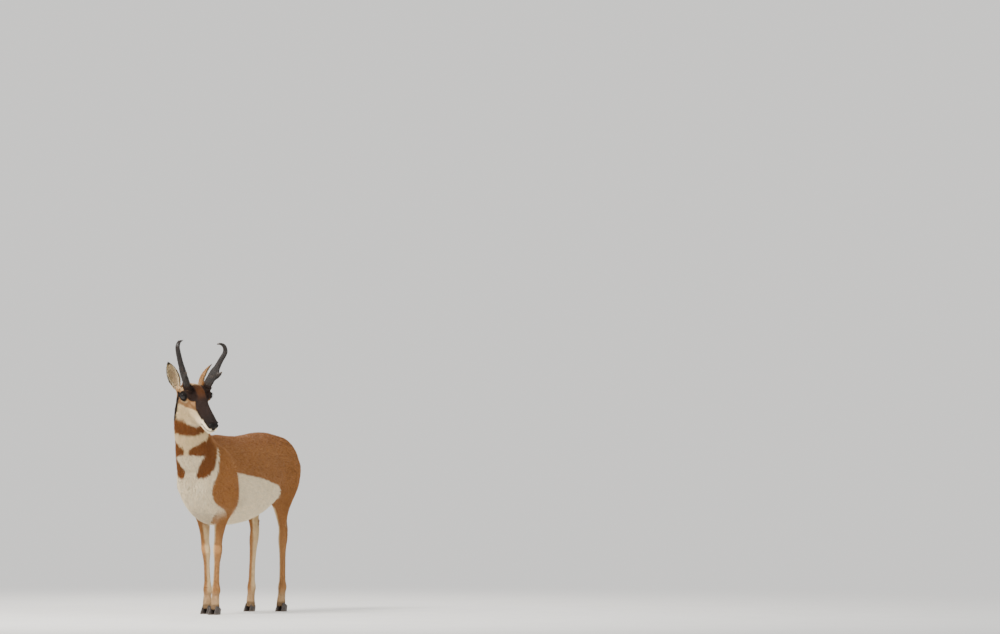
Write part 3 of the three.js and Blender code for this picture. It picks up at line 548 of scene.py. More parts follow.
def markings(P, N):
    """The colour of the coat at points on the body, from the animal's own measures."""
    P = P + np.stack([wobble(P, 38, 1), wobble(P, 38, 2), wobble(P, 38, 3)], 1) * 2.2
    x, y, z = P.T
    ax = np.abs(x)
    D = part_distances(P)
    # ---- trunk
    c = np.tile(TAN, (len(P), 1))
    c = lay(c, TAN_BACK, step(760, 835, z) * 0.8)
    c = lay(c, SHOULDER, np.exp(-(((y + 300) / 110) ** 2 + ((z - 640) / 130) ** 2)) * 0.8)
    # white of the flank and belly, with its front edge upright behind the shoulder
    top = along([(-300, 640), (-215, 664), (-120, 652), (0, 634), (120, 610), (215, 590), (270, 560), (330, 540)])(y)
    front = along([(380, -150), (440, -168), (480, -178), (560, -196), (660, -208), (700, -215)])(z)
    flank = step(-5, 5, top - z) * step(-5, 5, y - front)
    flank *= 1 - step(235, 262, y + (z - 560) * 0.30) * step(58, 80, ax)
    c = lay(c, WHITE, flank)
    # painted shade: a faint grey patch in the fold of the flank behind the elbow
    c = lay(c, SHADE_GREY, 0.22 * np.exp(-(((y + 165) / 36) ** 2 + ((z - 520) / 46) ** 2)) * (ax > 60))
    # pale underside between the legs
    c = lay(c, WHITE, step(-0.35, -0.75, N[:, 2]) * step(540, 490, z) * (z > 380))
    # white chest, its rear edge running up the front of the shoulder to a point
    edge = along([(400, -215), (440, -250), (483, -285), (519, -348), (560, -388), (600, -398), (643, -380), (700, -362), (745, -346), (785, -332), (830, -312)])(z)
    c = lay(c, WHITE, step(-4, 4, edge - y) * step(792, 776, z))
    # painted shade: grey on the lower chest between the forelegs
    c = lay(c, SHADE_GREY, 0.35 * step(500, 460, z) * step(70, 30, ax) * step(-180, -300, y))
    # rump: a round white patch of two lobes around the tail, brown above it in the middle
    ry, rz = (ax - 8) / 128, np.where(z > 712, (z - 712) / 132, (z - 712) / 176)
    r = np.sqrt(ry**2 + rz**2)
    back = step(350, 372, y + np.maximum(z - 760, 0) * 0.42)
    rump = step(1.02, 0.95, r + 0.05 * (z < 640)) * back
    c = lay(c, WHITE, rump)
    # painted shade: a duller, darker band down the middle of the rump below the tail, in the crease between the
    # haunches
    c = lay(c, PALE, 0.5 * np.exp(-(((ax) / 26) ** 2)) * rump * step(700, 560, z))
    # ---- legs
    for n in LEGS:
        s = 1 if n.endswith("L") else -1
        x0, _ = leg_middle(n, z)
        fore = n.startswith("fore")
        up = z - 36 * N[:, 0] * s
        w = step(17, 9, D[n]) * (step(484, 412, up) if fore else step(600, 520, z))
        lc = np.tile(LEG_TAN, (len(P), 1))
        lc = lay(lc, TAN, step(260, 480, z))
        inner = step(0.1, 0.65, -N[:, 0] * s)
        lc = lay(lc, CREAM, inner * 0.85 * step(70, 130, z))
        lc = lay(lc, PALE, 0.5 * step(0.3, 0.9, N[:, 1]))
        lc = lay(lc, RUST, 0.28 * step(0.3, 0.95, -N[:, 1]) * step(460, 180, z))
        lc = lay(lc, PALE, 0.55 * step(120, 70, z))
        lc = lay(lc, BROWN_BLACK, 0.55 * step(52, 42, z))
        c = c + (lc - c) * w[:, None]
    # ---- neck
    zl, u, v, nf, nb, nm = neck_local(P)
    phi = np.degrees(np.arctan2(np.abs(u), -v))  # 0 at the throat, 180 at the nape
    side = np.where(u > 0, 1.0, -1.0)
    nc = np.tile(RUST, (len(P), 1))
    nc = lay(nc, TAN, step(60, 120, phi))
    zz = z
    hi1 = 836 + 34 * (phi / 75) ** 2 + 3 * wobble(P, 30, 5)
    lo1 = np.where(phi < 34, 762 + 40 * (phi / 34) ** 0.85, 802 + 36 * ((phi - 34) / 45))
    band1 = step(-3, 3, hi1 - zz) * step(-3, 3, zz - lo1) * step(88, 74, phi)
    nc = lay(nc, CREAM, band1)
    gap = step(7, 4, phi) * step(735, 742, zz) * step(775, 765, zz)
    nc = lay(nc, CREAM, gap)
    half = along([(600, 16), (640, 16), (662, 17), (690, 24), (715, 32), (738, 44), (752, 50)])(zz)
    band2 = step(3, -3, phi - half) * step(748, 741, zz + 0.10 * phi)
    nc = lay(nc, WHITE, band2)
    low = along([(0, 690), (10, 668), (17, 640), (35, 640), (60, 662), (80, 690), (95, 725), (110, 766), (125, 800)])(phi)
    # short dark mane along the nape
    nc = lay(nc, BROWN_BLACK, step(167, 173, phi) * step(770, 850, zz) * 0.85)
    wn = step(26, -14, D["neck"] - D["trunk"] + 6)
    stroke = along([(600, 0), (640, 34), (690, 26), (740, 20), (770, 13), (790, 2)])(z)
    patch = step(-3, 3, z - low) * step(3, -3, y - (edge - stroke)) * step(128, 118, phi)
    up_ = step(784, 806, z)
    wn = np.where(z > 860, 1.0, wn) * up_ + patch * (1 - up_) * (z > 600)
    c = c + (nc - c) * wn[:, None]
    # ---- head
    t, l, h = to_head(P)
    al = np.abs(l)
    hc = np.tile(FACE_TAN, (len(P), 1))
    hc = lay(hc, TAN, step(-40, -80, t))
    # rust collar under the jaw
    # white cheek, from below the eye to the chin
    top_c = along([(-60, -74), (-24, -61), (0, -51), (48, -33), (91, -16), (125, -12), (214, -12)])(t)
    cheek = step(3, -3, h - top_c) * step(-52, -42, t + np.where(h < -60, 0.45, 0.10) * (h + 60))
    hc = lay(hc, CREAM, cheek)
    hc = lay(hc, WHITE, cheek * step(60, 150, t) * 0.85)
    # dark mask over forehead and nose
    half_mask = along([(-50, 30), (-25, 42), (0, 40), (25, 33), (50, 34), (75, 48), (214, 60)])(t)
    low_mask = along([(-60, 22), (0, 27), (40, 13), (70, 2), (90, -10), (107, -18), (135, -22), (165, -22), (190, -22), (214, -28)])(t)
    mask = step(2.5, -2.5, al - half_mask) * step(-2.5, 2.5, h - low_mask) * step(-48, -30, t)
    hc = lay(hc, MASK, mask)
    hc = lay(hc, RUST, mask * step(70, 20, t) * 0.50 * step(30, 18, al))
    hc = lay(hc, BLACK, mask * step(120, 190, t) * 0.65)
    # dark around the eye and up to the horn
    for s, n in ((1, "L"), (-1, "R")):
        e = in_head(0, s * EYE_SPREAD, 0) + EYE_OUT[n] * EYE_RADIUS
        de = np.linalg.norm(P - e, axis=1)
        hc = lay(hc, CREAM, 0.55 * step(44, 30, de) * step(-2, -12, h) * step(18, 24, al))
        hc = lay(hc, BROWN_BLACK, step(34, 26, de) * 0.92)
        hc = lay(hc, BLACK, step(28, 23, de) * 0.95)
        fore = np.sqrt(((t - 24) / 34) ** 2 + ((al - 42) / 25) ** 2 + ((h - 18) / 18) ** 2)
        hc = lay(hc, BROWN_BLACK, step(1.12, 0.86, fore) * 0.92)
        brow = np.sqrt(((t + 6) / 40) ** 2 + ((al - 46) / 26) ** 2 + ((h - 26) / 24) ** 2)
        hc = lay(hc, BROWN_BLACK, step(1.12, 0.85, brow) * 0.92)
    # pale crown between the horns and behind them, rust behind that
    crown = step(34, 22, al) * step(-24, -40, t) * step(20, 34, h)
    hc = lay(hc, CREAM, crown * 0.40)
    hc = lay(hc, CREAM, 0.75 * np.exp(-(((t + 58) / 16) ** 2 + ((h - 8) / 16) ** 2)) * step(28, 40, al))
    hc = lay(hc, RUST, step(-74, -92, t) * step(-10, 14, h) * 0.6)
    # lips, chin, nose
    hc = lay(hc, WHITE, step(140, 156, t) * step(-14, -20, h) * step(-78, -70, h) * step(4, 8, al + step(-36, -20, h) * -4))
    pad = np.sqrt(((t - 206) / 17) ** 2 + (al / 26) ** 2 + ((h - 0) / 17) ** 2)
    nose = step(1.1, 0.95, pad)
    hc = lay(hc, BLACK, nose)
    mh = -33 - 0.0016 * (208 - t) ** 2 * step(208, 150, t) - 7 * step(165, 140, t)
    lip = np.exp(-(((h - mh) / 3.2) ** 4)) * step(140, 150, t)
    hc = lay(hc, BLACK, lip * 0.9)
    # the head is the head's as far back as the line from nape to jaw
    jaw_line = 103 - 0.14 * np.maximum(t - 30, 0) + 34 * step(18, 34, al) * step(95, 40, t)
    wh = step(-6, 6, t + 86 + 0.28 * h) * step(-4, 4, h + jaw_line) * step(70, 50, D["head"])
    c = c + (hc - c) * wh[:, None]
    # black-brown patch behind the cheek, from below the ear down the side of the throat
    path = [(-40, -24, 9), (-30, -56, 16), (-10, -96, 20), (4, -128, 17), (12, -156, 7)]
    dist = np.full(len(P), 1e3)
    for (t0, h0, r0), (t1, h1, r1) in zip(path, path[1:]):
        k = np.clip(((t - t0) * (t1 - t0) + (h - h0) * (h1 - h0)) / ((t1 - t0) ** 2 + (h1 - h0) ** 2), 0, 1)
        dist = np.minimum(dist, np.hypot(t - t0 - k * (t1 - t0), h - h0 - k * (h1 - h0)) - mix(r0, r1, k))
    c = lay(c, BROWN_BLACK, step(4, -3, dist) * step(24, 36, al) * (D["head"] < 75))
    c = lay(c, BLACK, step(-2, -10, dist) * step(24, 36, al) * (D["head"] < 75) * 0.6)
    # ---- tail: rust stripe down a white tail
    wt = step(6, 0, D["tail"]) * step(452, 462, y)
    tc = np.tile(WHITE, (len(P), 1))
    tc = lay(tc, RUST, step(21, 15, ax) * step(0.0, 0.4, N[:, 1] + 0.45) * step(694, 708, z))
    tc = lay(tc, DARK_RUST, 0.5 * step(12, 6, ax) * step(0.0, 0.4, N[:, 1] + 0.3) * step(694, 708, z))
    c = c + (tc - c) * wt[:, None]
    return np.clip(c, 0, 1), D, nose * wh, (t, l, h)


def coat_depth(P, D, head):
    """How far the skin lies under the tips of the coat."""
    t, l, h = head
    z = P[:, 2]
    d = np.full(len(P), 7.5)
    d = mix(d, 10.0, step(380, 440, P[:, 1]))
    d = mix(d, 8.5, step(8, -8, D["neck"] - D["trunk"]) * step(650, 720, z))
    for n in LEGS:
        w = step(8, 2, D[n])
        low = along([(40, 1.2), (80, 1.4), (250, 1.6), (350, 2.2), (450, 4.0), (560, 6.5), (640, 7.5)])(z)
        d = mix(d, low, w * step(640, 560, z))
    wh = step(14, -6, D["head"] - np.maximum(D["neck"], -26))
    above = step(-14, 4, h + 97 + 0.1 * (t + 30))
    dh = along([(-98, 5.5), (-50, 3.6), (-20, 2.6), (40, 2.0), (120, 1.3), (170, 0.7), (190, 0.3), (214, 0.1)])(t)
    for s, n in ((1, "L"), (-1, "R")):
        de = np.linalg.norm(P - in_head(0, s * EYE_SPREAD, 0), axis=1)
        dh = dh * step(26, 40, de) + 0.25 * (1 - step(26, 40, de))
    d = mix(d, dh, wh * above)
    d = mix(d, 6.0, step(6, 0, D["tail"]) * step(450, 462, P[:, 1]))
    return d


# ------------------------------------------------------------------ the skin
def refine(V, faces, wanted):
    """Splits the edges of the wanted faces in half."""
    me = bpy.data.meshes.new("work")
    me.from_pydata(V.tolist(), [], faces)
    bm = bmesh.new()
    bm.from_mesh(me)
    bm.faces.ensure_lookup_table()
    C = np.array([f.calc_center_median()[:] for f in bm.faces])
    pick = wanted(C)
    edges = {e for f, p in zip(bm.faces, pick) if p for e in f.edges}
    bmesh.ops.subdivide_edges(bm, edges=list(edges), cuts=1, use_grid_fill=True)
    bm.verts.ensure_lookup_table()
    bm.verts.index_update()
    V = np.array([v.co[:] for v in bm.verts])
    F = [[v.index for v in f.verts] for f in bm.faces]
    bm.free()
    bpy.data.meshes.remove(me)
    return V, F


def settle(V, times=3, cap=3.0):
    """Moves points onto the zero level of the body."""
    for _ in range(times):
        f = in_chunks(body_field, V)
        g = gradient(body_field, V)
        n = np.linalg.norm(g, axis=1, keepdims=True)
        move = np.clip(f / np.maximum(n[:, 0], 0.25), -cap, cap)
        V = V - move[:, None] * g / np.maximum(n, 1e-6)
    return V


def unit(v):
    return v / np.maximum(np.linalg.norm(v, axis=-1, keepdims=True), 1e-9)


CELL = 6.0
F, fx = sample_grid(lambda P: body_field(P, False), (-216, -640, 24), (276, 530, 1126), CELL)
V, Q = surface_nets(F, fx)
say("grid", F.shape, "verts", len(V))
V = settle(V, 1, 4.0)
HEAD_AT = in_head(60, 0, -20)


def on_head(C):
    t, l, h = to_head(C)
    return (t > -75) & (t < 230) & (h > -112) & (h < 75) & (np.abs(l) < 90)


def fine_places(C):
    t, l, h = to_head(C)
    near = np.zeros(len(C), bool)
    for s in (1, -1):
        near |= np.linalg.norm(C - in_head(6, s * (EYE_SPREAD + 4), 0), axis=1) < 34
    return near | ((t > 172) & (t < 230)) | ((t > 138) & (h < -14) & (h > -56) & (t < 230))


V, FACES = refine(V, Q.tolist(), on_head)
V = settle(V, 1, 3.0)
V, FACES = refine(V, FACES, fine_places)
V = settle(V, 1, 2.0)
V = settle(V, 3, 1.5)
NORMAL = unit(gradient(body_field, V, 0.7))
say("skin", len(V), "verts", len(FACES), "faces")
COLOUR, PARTS, NOSE, HEAD_TLH = markings(V, NORMAL)
DEPTH = coat_depth(V, PARTS, HEAD_TLH)
say("marked")
SKIN_V = V - NORMAL * DEPTH[:, None]


def as_groups(faces):
    by = {}
    for f in faces:
        by.setdefault(len(f), []).append(f)
    return [np.array(v) for v in by.values()]


skin_faces = as_groups(FACES)


# ------------------------------------------------------------------ ears: thin cups of skin
EAR_LENGTH, EAR_WIDTH = 140.0, 58.0
EAR = {"R": ((-52, 64, 26), (-62, 116, 160), 42), "L": ((-52, 62, 26), (-58, 136, 154), 62)}
ear_wide = along([(0, 0.3), (0.15, 0.42), (0.35, 0.5), (0.55, 0.49), (0.75, 0.38), (0.9, 0.21), (1, 0.05)])


def ear_axes(side):
    s = 1 if side == "L" else -1
    b, t, o = EAR[side]
    base, tip = near_head(b[0], s * b[1], b[2]), near_head(t[0], s * t[1], t[2])
    axis = unit(tip - base)
    o = math.radians(o)
    facing = FWD * math.cos(o) + LFT * s * math.sin(o)
    facing = unit(facing - axis * (facing @ axis))
    return base, axis, facing, np.cross(axis, facing)


def ear_point(side, q, a, inner):
    """A point of the ear: q from base to tip, a from one rim (0) round the back to the other (1)."""
    base, axis, facing, across = ear_axes(side)
    s = 1 if side == "L" else -1
    ang = math.pi * a
    tuck = step(0.10, -0.08, q)
    w = (EAR_WIDTH * ear_wide(q) - 0.9) * (1 - 0.35 * tuck)
    deep = w * mix(0.80, 0.52, q) - 0.6
    thick = mix(3.4, 1.3, np.clip(q, 0, 1)) * (0.35 + 0.65 * np.sin(ang) ** 0.6)
    if inner:
        w, deep = w - thick, deep - thick
    w, deep = np.maximum(w, 0.25), np.maximum(deep, 0.15)
    # the rims roll in towards each other lower down, and the cup is deepest low down
    roll = 1 - 0.30 * step(0.40, 0.0, q)
    u = w * np.cos(ang) * (1 - (1 - roll) * np.abs(np.cos(ang)) ** 3)
    v = -deep * np.sin(ang) + (1 - roll) * w * 0.55 * np.abs(np.cos(ang)) ** 2
    mid = base - LFT * (s * 9 * tuck)[:, None] - UPZ * (4 * tuck)[:, None] + axis * (q * EAR_LENGTH)[:, None] - facing * (7 * np.sin(math.pi * np.clip(q, 0, 1)))[:, None]
    # soft folds along the inside
    fold = 0.0
    if inner:
        fold = 1.3 * np.sin(ang * 5.0 + 0.6) * np.sin(math.pi * np.clip(q, 0, 1)) ** 0.7 * np.sin(ang)
    return mid + across * u[:, None] + facing * (v + fold)[:, None]


def ear_mesh(side, nq=54, na=34):
    q = np.concatenate([np.linspace(-0.10, 0.9, nq - 12), 0.9 + 0.1 * np.sin(np.linspace(0, math.pi / 2, 13))[1:]])
    a = np.linspace(0, 1, na)
    qq, aa = np.meshgrid(q, a, indexing="ij")
    outer = ear_point(side, qq.ravel(), aa.ravel(), False)
    inner = ear_point(side, qq.ravel(), aa.ravel(), True)
    n = len(outer)
    V = np.concatenate([outer, inner])
    quads = []
    idx = np.arange(n).reshape(len(q), na)
    o = [idx[:-1, :-1], idx[1:, :-1], idx[1:, 1:], idx[:-1, 1:]]
    quads.append(np.stack([k.ravel() for k in o], 1))
    quads.append(np.stack([k.ravel() + n for k in o[::-1]], 1))
    for col in (0, na - 1):
        r = [idx[:-1, col], idx[1:, col], idx[1:, col] + n, idx[:-1, col] + n]
        quads.append(np.stack(r if col else r[::-1], 1))
    r = [idx[-1, :-1], idx[-1, 1:], idx[-1, 1:] + n, idx[-1, :-1] + n]
    quads.append(np.stack(r, 1))
    Q = np.concatenate(quads)
    # turn the faces outward if the cup came out the other way round
    d = np.cross(V[Q[:, 1]] - V[Q[:, 0]], V[Q[:, 2]] - V[Q[:, 0]])
    base, axis, facing, across = ear_axes(side)
    back = quads[0]
    m = len(back)
    if (d[:m] @ facing).mean() > 0:
        Q = Q[:, ::-1]
    inner_mark = np.concatenate([np.zeros(n), np.ones(n)])
    return V, Q, np.concatenate([qq.ravel(), qq.ravel()]), np.concatenate([aa.ravel(), aa.ravel()]), inner_mark


def ear_colour(side, q, a, inner, P):
    c = np.tile(srgb(168, 124, 80), (len(q), 1))
    q = q + 0.02 * wobble(P, 26, 11)
    edge = 1 - np.abs(2 * a - 1) ** 2 * 0 - np.minimum(a, 1 - a) * 2  # 1 at the rim
    inside = np.tile(srgb(190, 168, 130), (len(q), 1))
    inside = lay(inside, srgb(120, 92, 74), np.exp(-(((a - 0.5) / 0.16) ** 2)) * step(0.1, 0.3, q) * step(0.85, 0.6, q) * 0.55)
    inside = lay(inside, srgb(92, 66, 56), 0.65 * step(0.3, 0.02, q) * step(0.9, 0.4, edge))
    inside = lay(inside, WHITE, step(0.62, 0.86, edge) * step(0.9, 0.7, q) * 0.8)
    out = lay(c, srgb(196, 164, 126), step(0.35, 0.0, q) * 0.6)
    out = lay(out, BROWN_BLACK, 0.45 * step(0.55, 0.9, q))
    c = out + (inside - out) * inner[:, None]
    dark = np.maximum(step(0.90, 0.985, edge) * step(0.1, 0.35, q), step(0.86, 0.94, q))
    return lay(c, BLACK, dark * 0.93)


all_v, all_f, all_c, all_n = [SKIN_V], list(skin_faces), [COLOUR], [NOSE]
EARS = {}
at = len(SKIN_V)
for side in "LR":
    ev, eq, q, a, inner = ear_mesh(side)
    all_v.append(ev)
    all_f.append(eq + at)
    all_c.append(ear_colour(side, q, a, inner, ev))
    all_n.append(np.zeros(len(ev)))
    EARS[side] = (ev, eq, q, a, inner)
    at += len(ev)
quads = np.concatenate([g for g in all_f if g.shape[1] == 4])
others = [g for g in all_f if g.shape[1] != 4]
skin = make_mesh("skin", to_model(np.concatenate(all_v)), [quads] + others)
paint(skin, "Marks", np.concatenate(all_c))
number(skin, "Bare", np.concatenate(all_n))
say("skin object", len(skin.data.polygons))


# ------------------------------------------------------------------ horns
class Curve:
    """A centripetal Catmull-Rom curve through points, measured by its length."""

    def __init__(self, pts, n=400):
        p = np.array(pts, float)
        p = np.vstack([2 * p[0] - p[1], p, 2 * p[-1] - p[-2]])
        out = []
        for i in range(1, len(p) - 2):
            x0, x1, x2, x3 = p[i - 1 : i + 3]
            d0, d1, d2 = [max(np.linalg.norm(b - a) ** 0.5, 1e-4) for a, b in ((x0, x1), (x1, x2), (x2, x3))]
            t1 = ((x1 - x0) / d0 - (x2 - x0) / (d0 + d1) + (x2 - x1) / d1) * d1
            t2 = ((x2 - x1) / d1 - (x3 - x1) / (d1 + d2) + (x3 - x2) / d2) * d1
            t = np.linspace(0, 1, 60, endpoint=False)[:, None]
            out.append(x1 + t1 * t + (-3 * x1 + 3 * x2 - 2 * t1 - t2) * t**2 + (2 * x1 - 2 * x2 + t1 + t2) * t**3)
        q = np.vstack(out + [p[-2:-1]])
        s = np.concatenate([[0], np.cumsum(np.linalg.norm(np.diff(q, axis=0), axis=1))])
        at = np.linspace(0, s[-1], n)
        self.length = s[-1]
        self.p = np.stack([np.interp(at, s, q[:, k]) for k in range(3)], 1)
        self.t = unit(np.gradient(self.p, axis=0))
        self.q = np.linspace(0, 1, n)

    def locate(self, P, v_hint):
        """Nearest station, distances across (u) and along the hint (v), and past the ends (w)."""
        i = np.concatenate([((P[k : k + 20000, None, :] - self.p[None, ::4]) ** 2).sum(2).argmin(1) * 4 for k in range(0, len(P), 20000)])
        i = np.clip(i, 0, len(self.p) - 1)
        for _ in range(2):
            w = ((P - self.p[i]) * self.t[i]).sum(1)
            i = np.clip(i + np.round(w / (self.length / (len(self.p) - 1))).astype(int), 0, len(self.p) - 1)
        d = P - self.p[i]
        t = self.t[i]
        w = (d * t).sum(1)
        v = v_hint - t * (t @ v_hint)[:, None]
        v = unit(v)
        u = np.cross(v, t)
        return self.q[i], (d * u).sum(1), (d * v).sum(1), w


HORN = {
    "L": [(6, 53, 36), (13, 62, 58), (24, 86, 104), (37, 116, 164), (48, 134, 204), (46, 129, 230), (38, 116, 241), (28, 100, 240)],
    "R": [(6, 53, 36), (13, 62, 58), (23, 86, 104), (36, 114, 164), (47, 132, 204), (50, 137, 228), (44, 124, 249), (34, 96, 258)],
}
horn_side = along([(0, 16.5), (0.2, 15.5), (0.36, 14.5), (0.48, 13.2), (0.7, 12), (0.88, 8.8), (1, 2.8)])
horn_deep = along([(0, 25), (0.2, 26), (0.32, 26), (0.44, 17), (0.56, 14), (0.75, 12.5), (0.9, 8.8), (1, 2.8)])
prong_wide = along([(0, 10), (0.5, 8), (0.85, 4.6), (1, 2.2)])
prong_tall = along([(0, 24), (0.5, 13.5), (0.85, 5.5), (1, 2.2)])
HORNS = {}
for side, s in (("L", 1), ("R", -1)):
    ahead = FWD * math.cos(math.radians(20)) + LFT * s * math.sin(math.radians(20))
    root = near_head(22, s * 83, 92)
    HORNS[side] = (
        Curve([near_head(f, s * l, z) for f, l, z in HORN[side]]),
        Curve([root + ahead * 4, root + ahead * 24 + UPZ * 3, root + ahead * 40 + UPZ * 9, root + ahead * 51 + UPZ * 19]),
        ahead,
    )


def loft_distance(q, u, v, w, a, bp, bm, n, pp, pm):
    b = np.where(v > 0, bp, bm)
    k = v / b
    width = a * (1 - np.where(v > 0, pp, pm) * np.clip(k * k, 0, 1))
    f = (np.abs(u / width) ** n + np.abs(k) ** n) ** (1 / n)
    rho = np.hypot(u, v)
    d = np.where(f > 1e-3, rho * (1 - 1 / np.maximum(f, 1e-3)), -np.minimum(width, b))
    past = np.where((q < 1e-6) | (q > 1 - 1e-6), np.abs(w), 0)
    return np.where(past > 0, np.maximum(d, 0) * 0 + np.hypot(np.maximum(d, 0), past), d)


def horn_field(P, side, fine=True):
    main, prong, ahead = HORNS[side][:3]
    q, u, v, w = main.locate(P, ahead)
    a, b = horn_side(q), horn_deep(q)
    if fine:
        th = np.arctan2(u / a, v / b)
        # a rough, knobbly base that calms down to long fine ridges and a smooth tip
        rough = step(0.95, 0.15, q)
        knob = np.sin(th * 5 + 9 * q + 1.3 * np.sin(17 * q)) * np.sin(q * 74 + 2.1 * np.sin(3 * th))
        a = a + rough * (0.55 * knob + 0.5 * np.sin(11 * th + 5 * np.sin(6 * q))) * step(0, 0.05, q + 0.02) - 0.4
        b = b + rough * (0.55 * knob + 0.5 * np.sin(11 * th + 5 * np.sin(6 * q))) - 0.4
        base = step(0.10, 0.0, q)
        a, b = a - base * 0.6, b - base * 0.6
    d = loft_distance(q, u, v, w, a, b, b * 0.92, 2.1, 0.25, 0.1)
    q2, u2, v2, w2 = prong.locate(P, UPZ)
    d2 = loft_distance(q2, u2, v2, w2, prong_wide(q2) - 0.4, prong_tall(q2) - 0.4, prong_tall(q2) - 0.4, 2.0, 0, 0)
    if fine:
        d2 = d2 - 0.3 * np.sin(np.arctan2(u2, v2) * 9 + 3 * q2) * step(1, 0.3, q2)
    return smin(d, d2, 7.0)


HORN_BLACK = srgb(27, 21, 18)
HORN_BROWN = srgb(64, 46, 34)
for side in "LR":
    main, prong, ahead = HORNS[side][:3]
    pts = np.vstack([main.p, prong.p])
    lo, hi = pts.min(0) - 34, pts.max(0) + 34
    cell = 1.9
    G, gx = sample_grid(lambda P: horn_field(P, side, False), lo, hi, cell)
    hv, hq = surface_nets(G, gx)
    for _ in range(2):
        f = horn_field(hv, side)
        g = gradient(lambda P: horn_field(P, side), hv, 0.5)
        n = np.linalg.norm(g, axis=1, keepdims=True)
        hv = hv - np.clip(f / np.maximum(n[:, 0], 0.3), -1.2, 1.2)[:, None] * g / np.maximum(n, 1e-6)
    q, u, v, w = main.locate(hv, ahead)
    q2, u2, v2, w2 = prong.locate(hv, UPZ)
    th = np.arctan2(u / horn_side(q), v / horn_deep(q))
    on_prong = step(2, -2, np.hypot(u2, v2) - prong_tall(q2) - 2) * step(12, 18, v)
    c = np.tile(HORN_BLACK, (len(hv), 1))
    c = lay(c, HORN_BROWN, 0.45 * step(0.16, 0.0, q) + 0.25 * np.clip(wobble(hv, 22, 21), 0, 1))
    c = lay(c, srgb(112, 92, 74), 0.35 * step(0.93, 1.0, q) + 0.4 * on_prong * step(0.75, 1.0, q2))
    c = lay(c, srgb(20, 16, 15), 0.5 * np.clip(-wobble(hv, 9, 22), 0, 1))
    ob = make_mesh("horn_sheath_" + side, to_model(hv), hq)
    paint(ob, "Marks", c)
    number(ob, "Along", np.where(on_prong > 0.5, 0.45 + 0.4 * q2, q))
    number(ob, "Polish", np.clip(step(0.55, 0.98, q) + on_prong * step(0.3, 1, q2), 0, 1))
    number(ob, "Round", np.sin(th))
    number(ob, "Round2", np.cos(th))
    HORNS[side] = HORNS[side] + (ob,)
say("horns")


# ------------------------------------------------------------------ eyes
EYE_OBJECTS = {}
for s, n in ((1, "L"), (-1, "R")):
    c = in_head(0, s * EYE_SPREAD, 0)
    out = EYE_OUT[n]
    fw = TAX * 0.95 - HAX * 0.18
    fw = unit(fw - out * (fw @ out))
    up = np.cross(out, fw) * s
    up = up if up @ HAX > 0 else -up
    rings, segs = 48, 72
    lat = np.linspace(0, math.pi, rings + 1)[1:-1]
    lon = np.linspace(0, 2 * math.pi, segs, endpoint=False)
    la, lo_ = np.meshgrid(lat, lon, indexing="ij")
    o = np.cos(la).ravel()
    f = (np.sin(la) * np.cos(lo_)).ravel()
    g = (np.sin(la) * np.sin(lo_)).ravel()
    o = np.concatenate([[1.0], o, [-1.0]])
    f = np.concatenate([[0.0], f, [0.0]])
    g = np.concatenate([[0.0], g, [0.0]])
    r = EYE_RADIUS - 0.55 + 0.9 * np.exp(-((f**2 + g**2) / 0.30)) * (o > 0)
    pv = c + (out * o[:, None] + fw * f[:, None] + up * g[:, None]) * r[:, None]
    quads, tris = [], []
    idx = 1 + np.arange((rings - 1) * segs).reshape(rings - 1, segs)
    nxt = np.roll(idx, -1, 1)
    quads = np.stack([idx[:-1].ravel(), idx[1:].ravel(), nxt[1:].ravel(), nxt[:-1].ravel()], 1)
    tris = np.concatenate([
        np.stack([np.zeros(segs, int), idx[0], nxt[0]], 1),
        np.stack([np.full(segs, len(pv) - 1), nxt[-1], idx[-1]], 1)])
    d = np.cross(pv[quads[:, 1]] - pv[quads[:, 0]], pv[quads[:, 2]] - pv[quads[:, 0]])
    if ((pv[quads[:, 0]] - c) * d).sum(1).mean() < 0:
        quads, tris = quads[:, ::-1], tris[:, ::-1]
    ob = make_mesh("eyeball_" + n, to_model(pv), [quads, tris])
    # near-black brown: a wide level pupil, a dark brown ring, darker at its edge
    pupil = step(1.12, 0.92, np.sqrt((f / 0.46) ** 2 + (g / 0.22) ** 2)) * (o > 0)
    iris = step(0.80, 0.72, np.hypot(f, g)) * (o > 0)
    streak = 0.5 + 0.5 * np.sin(np.arctan2(g, f) * 40 + 3 * np.sin(np.arctan2(g, f) * 7))
    cc = np.tile(srgb(24, 16, 13), (len(pv), 1))
    cc = lay(cc, srgb(20, 12, 8), iris)
    cc = lay(cc, srgb(36, 21, 13), iris * streak * 0.5)
    cc = lay(cc, srgb(16, 11, 10), np.exp(-(((np.hypot(f, g) - 0.76) / 0.05) ** 2)) * (o > 0))
    cc = lay(cc, srgb(7, 7, 10), pupil)
    paint(ob, "Marks", cc)
    EYE_OBJECTS[n] = ob


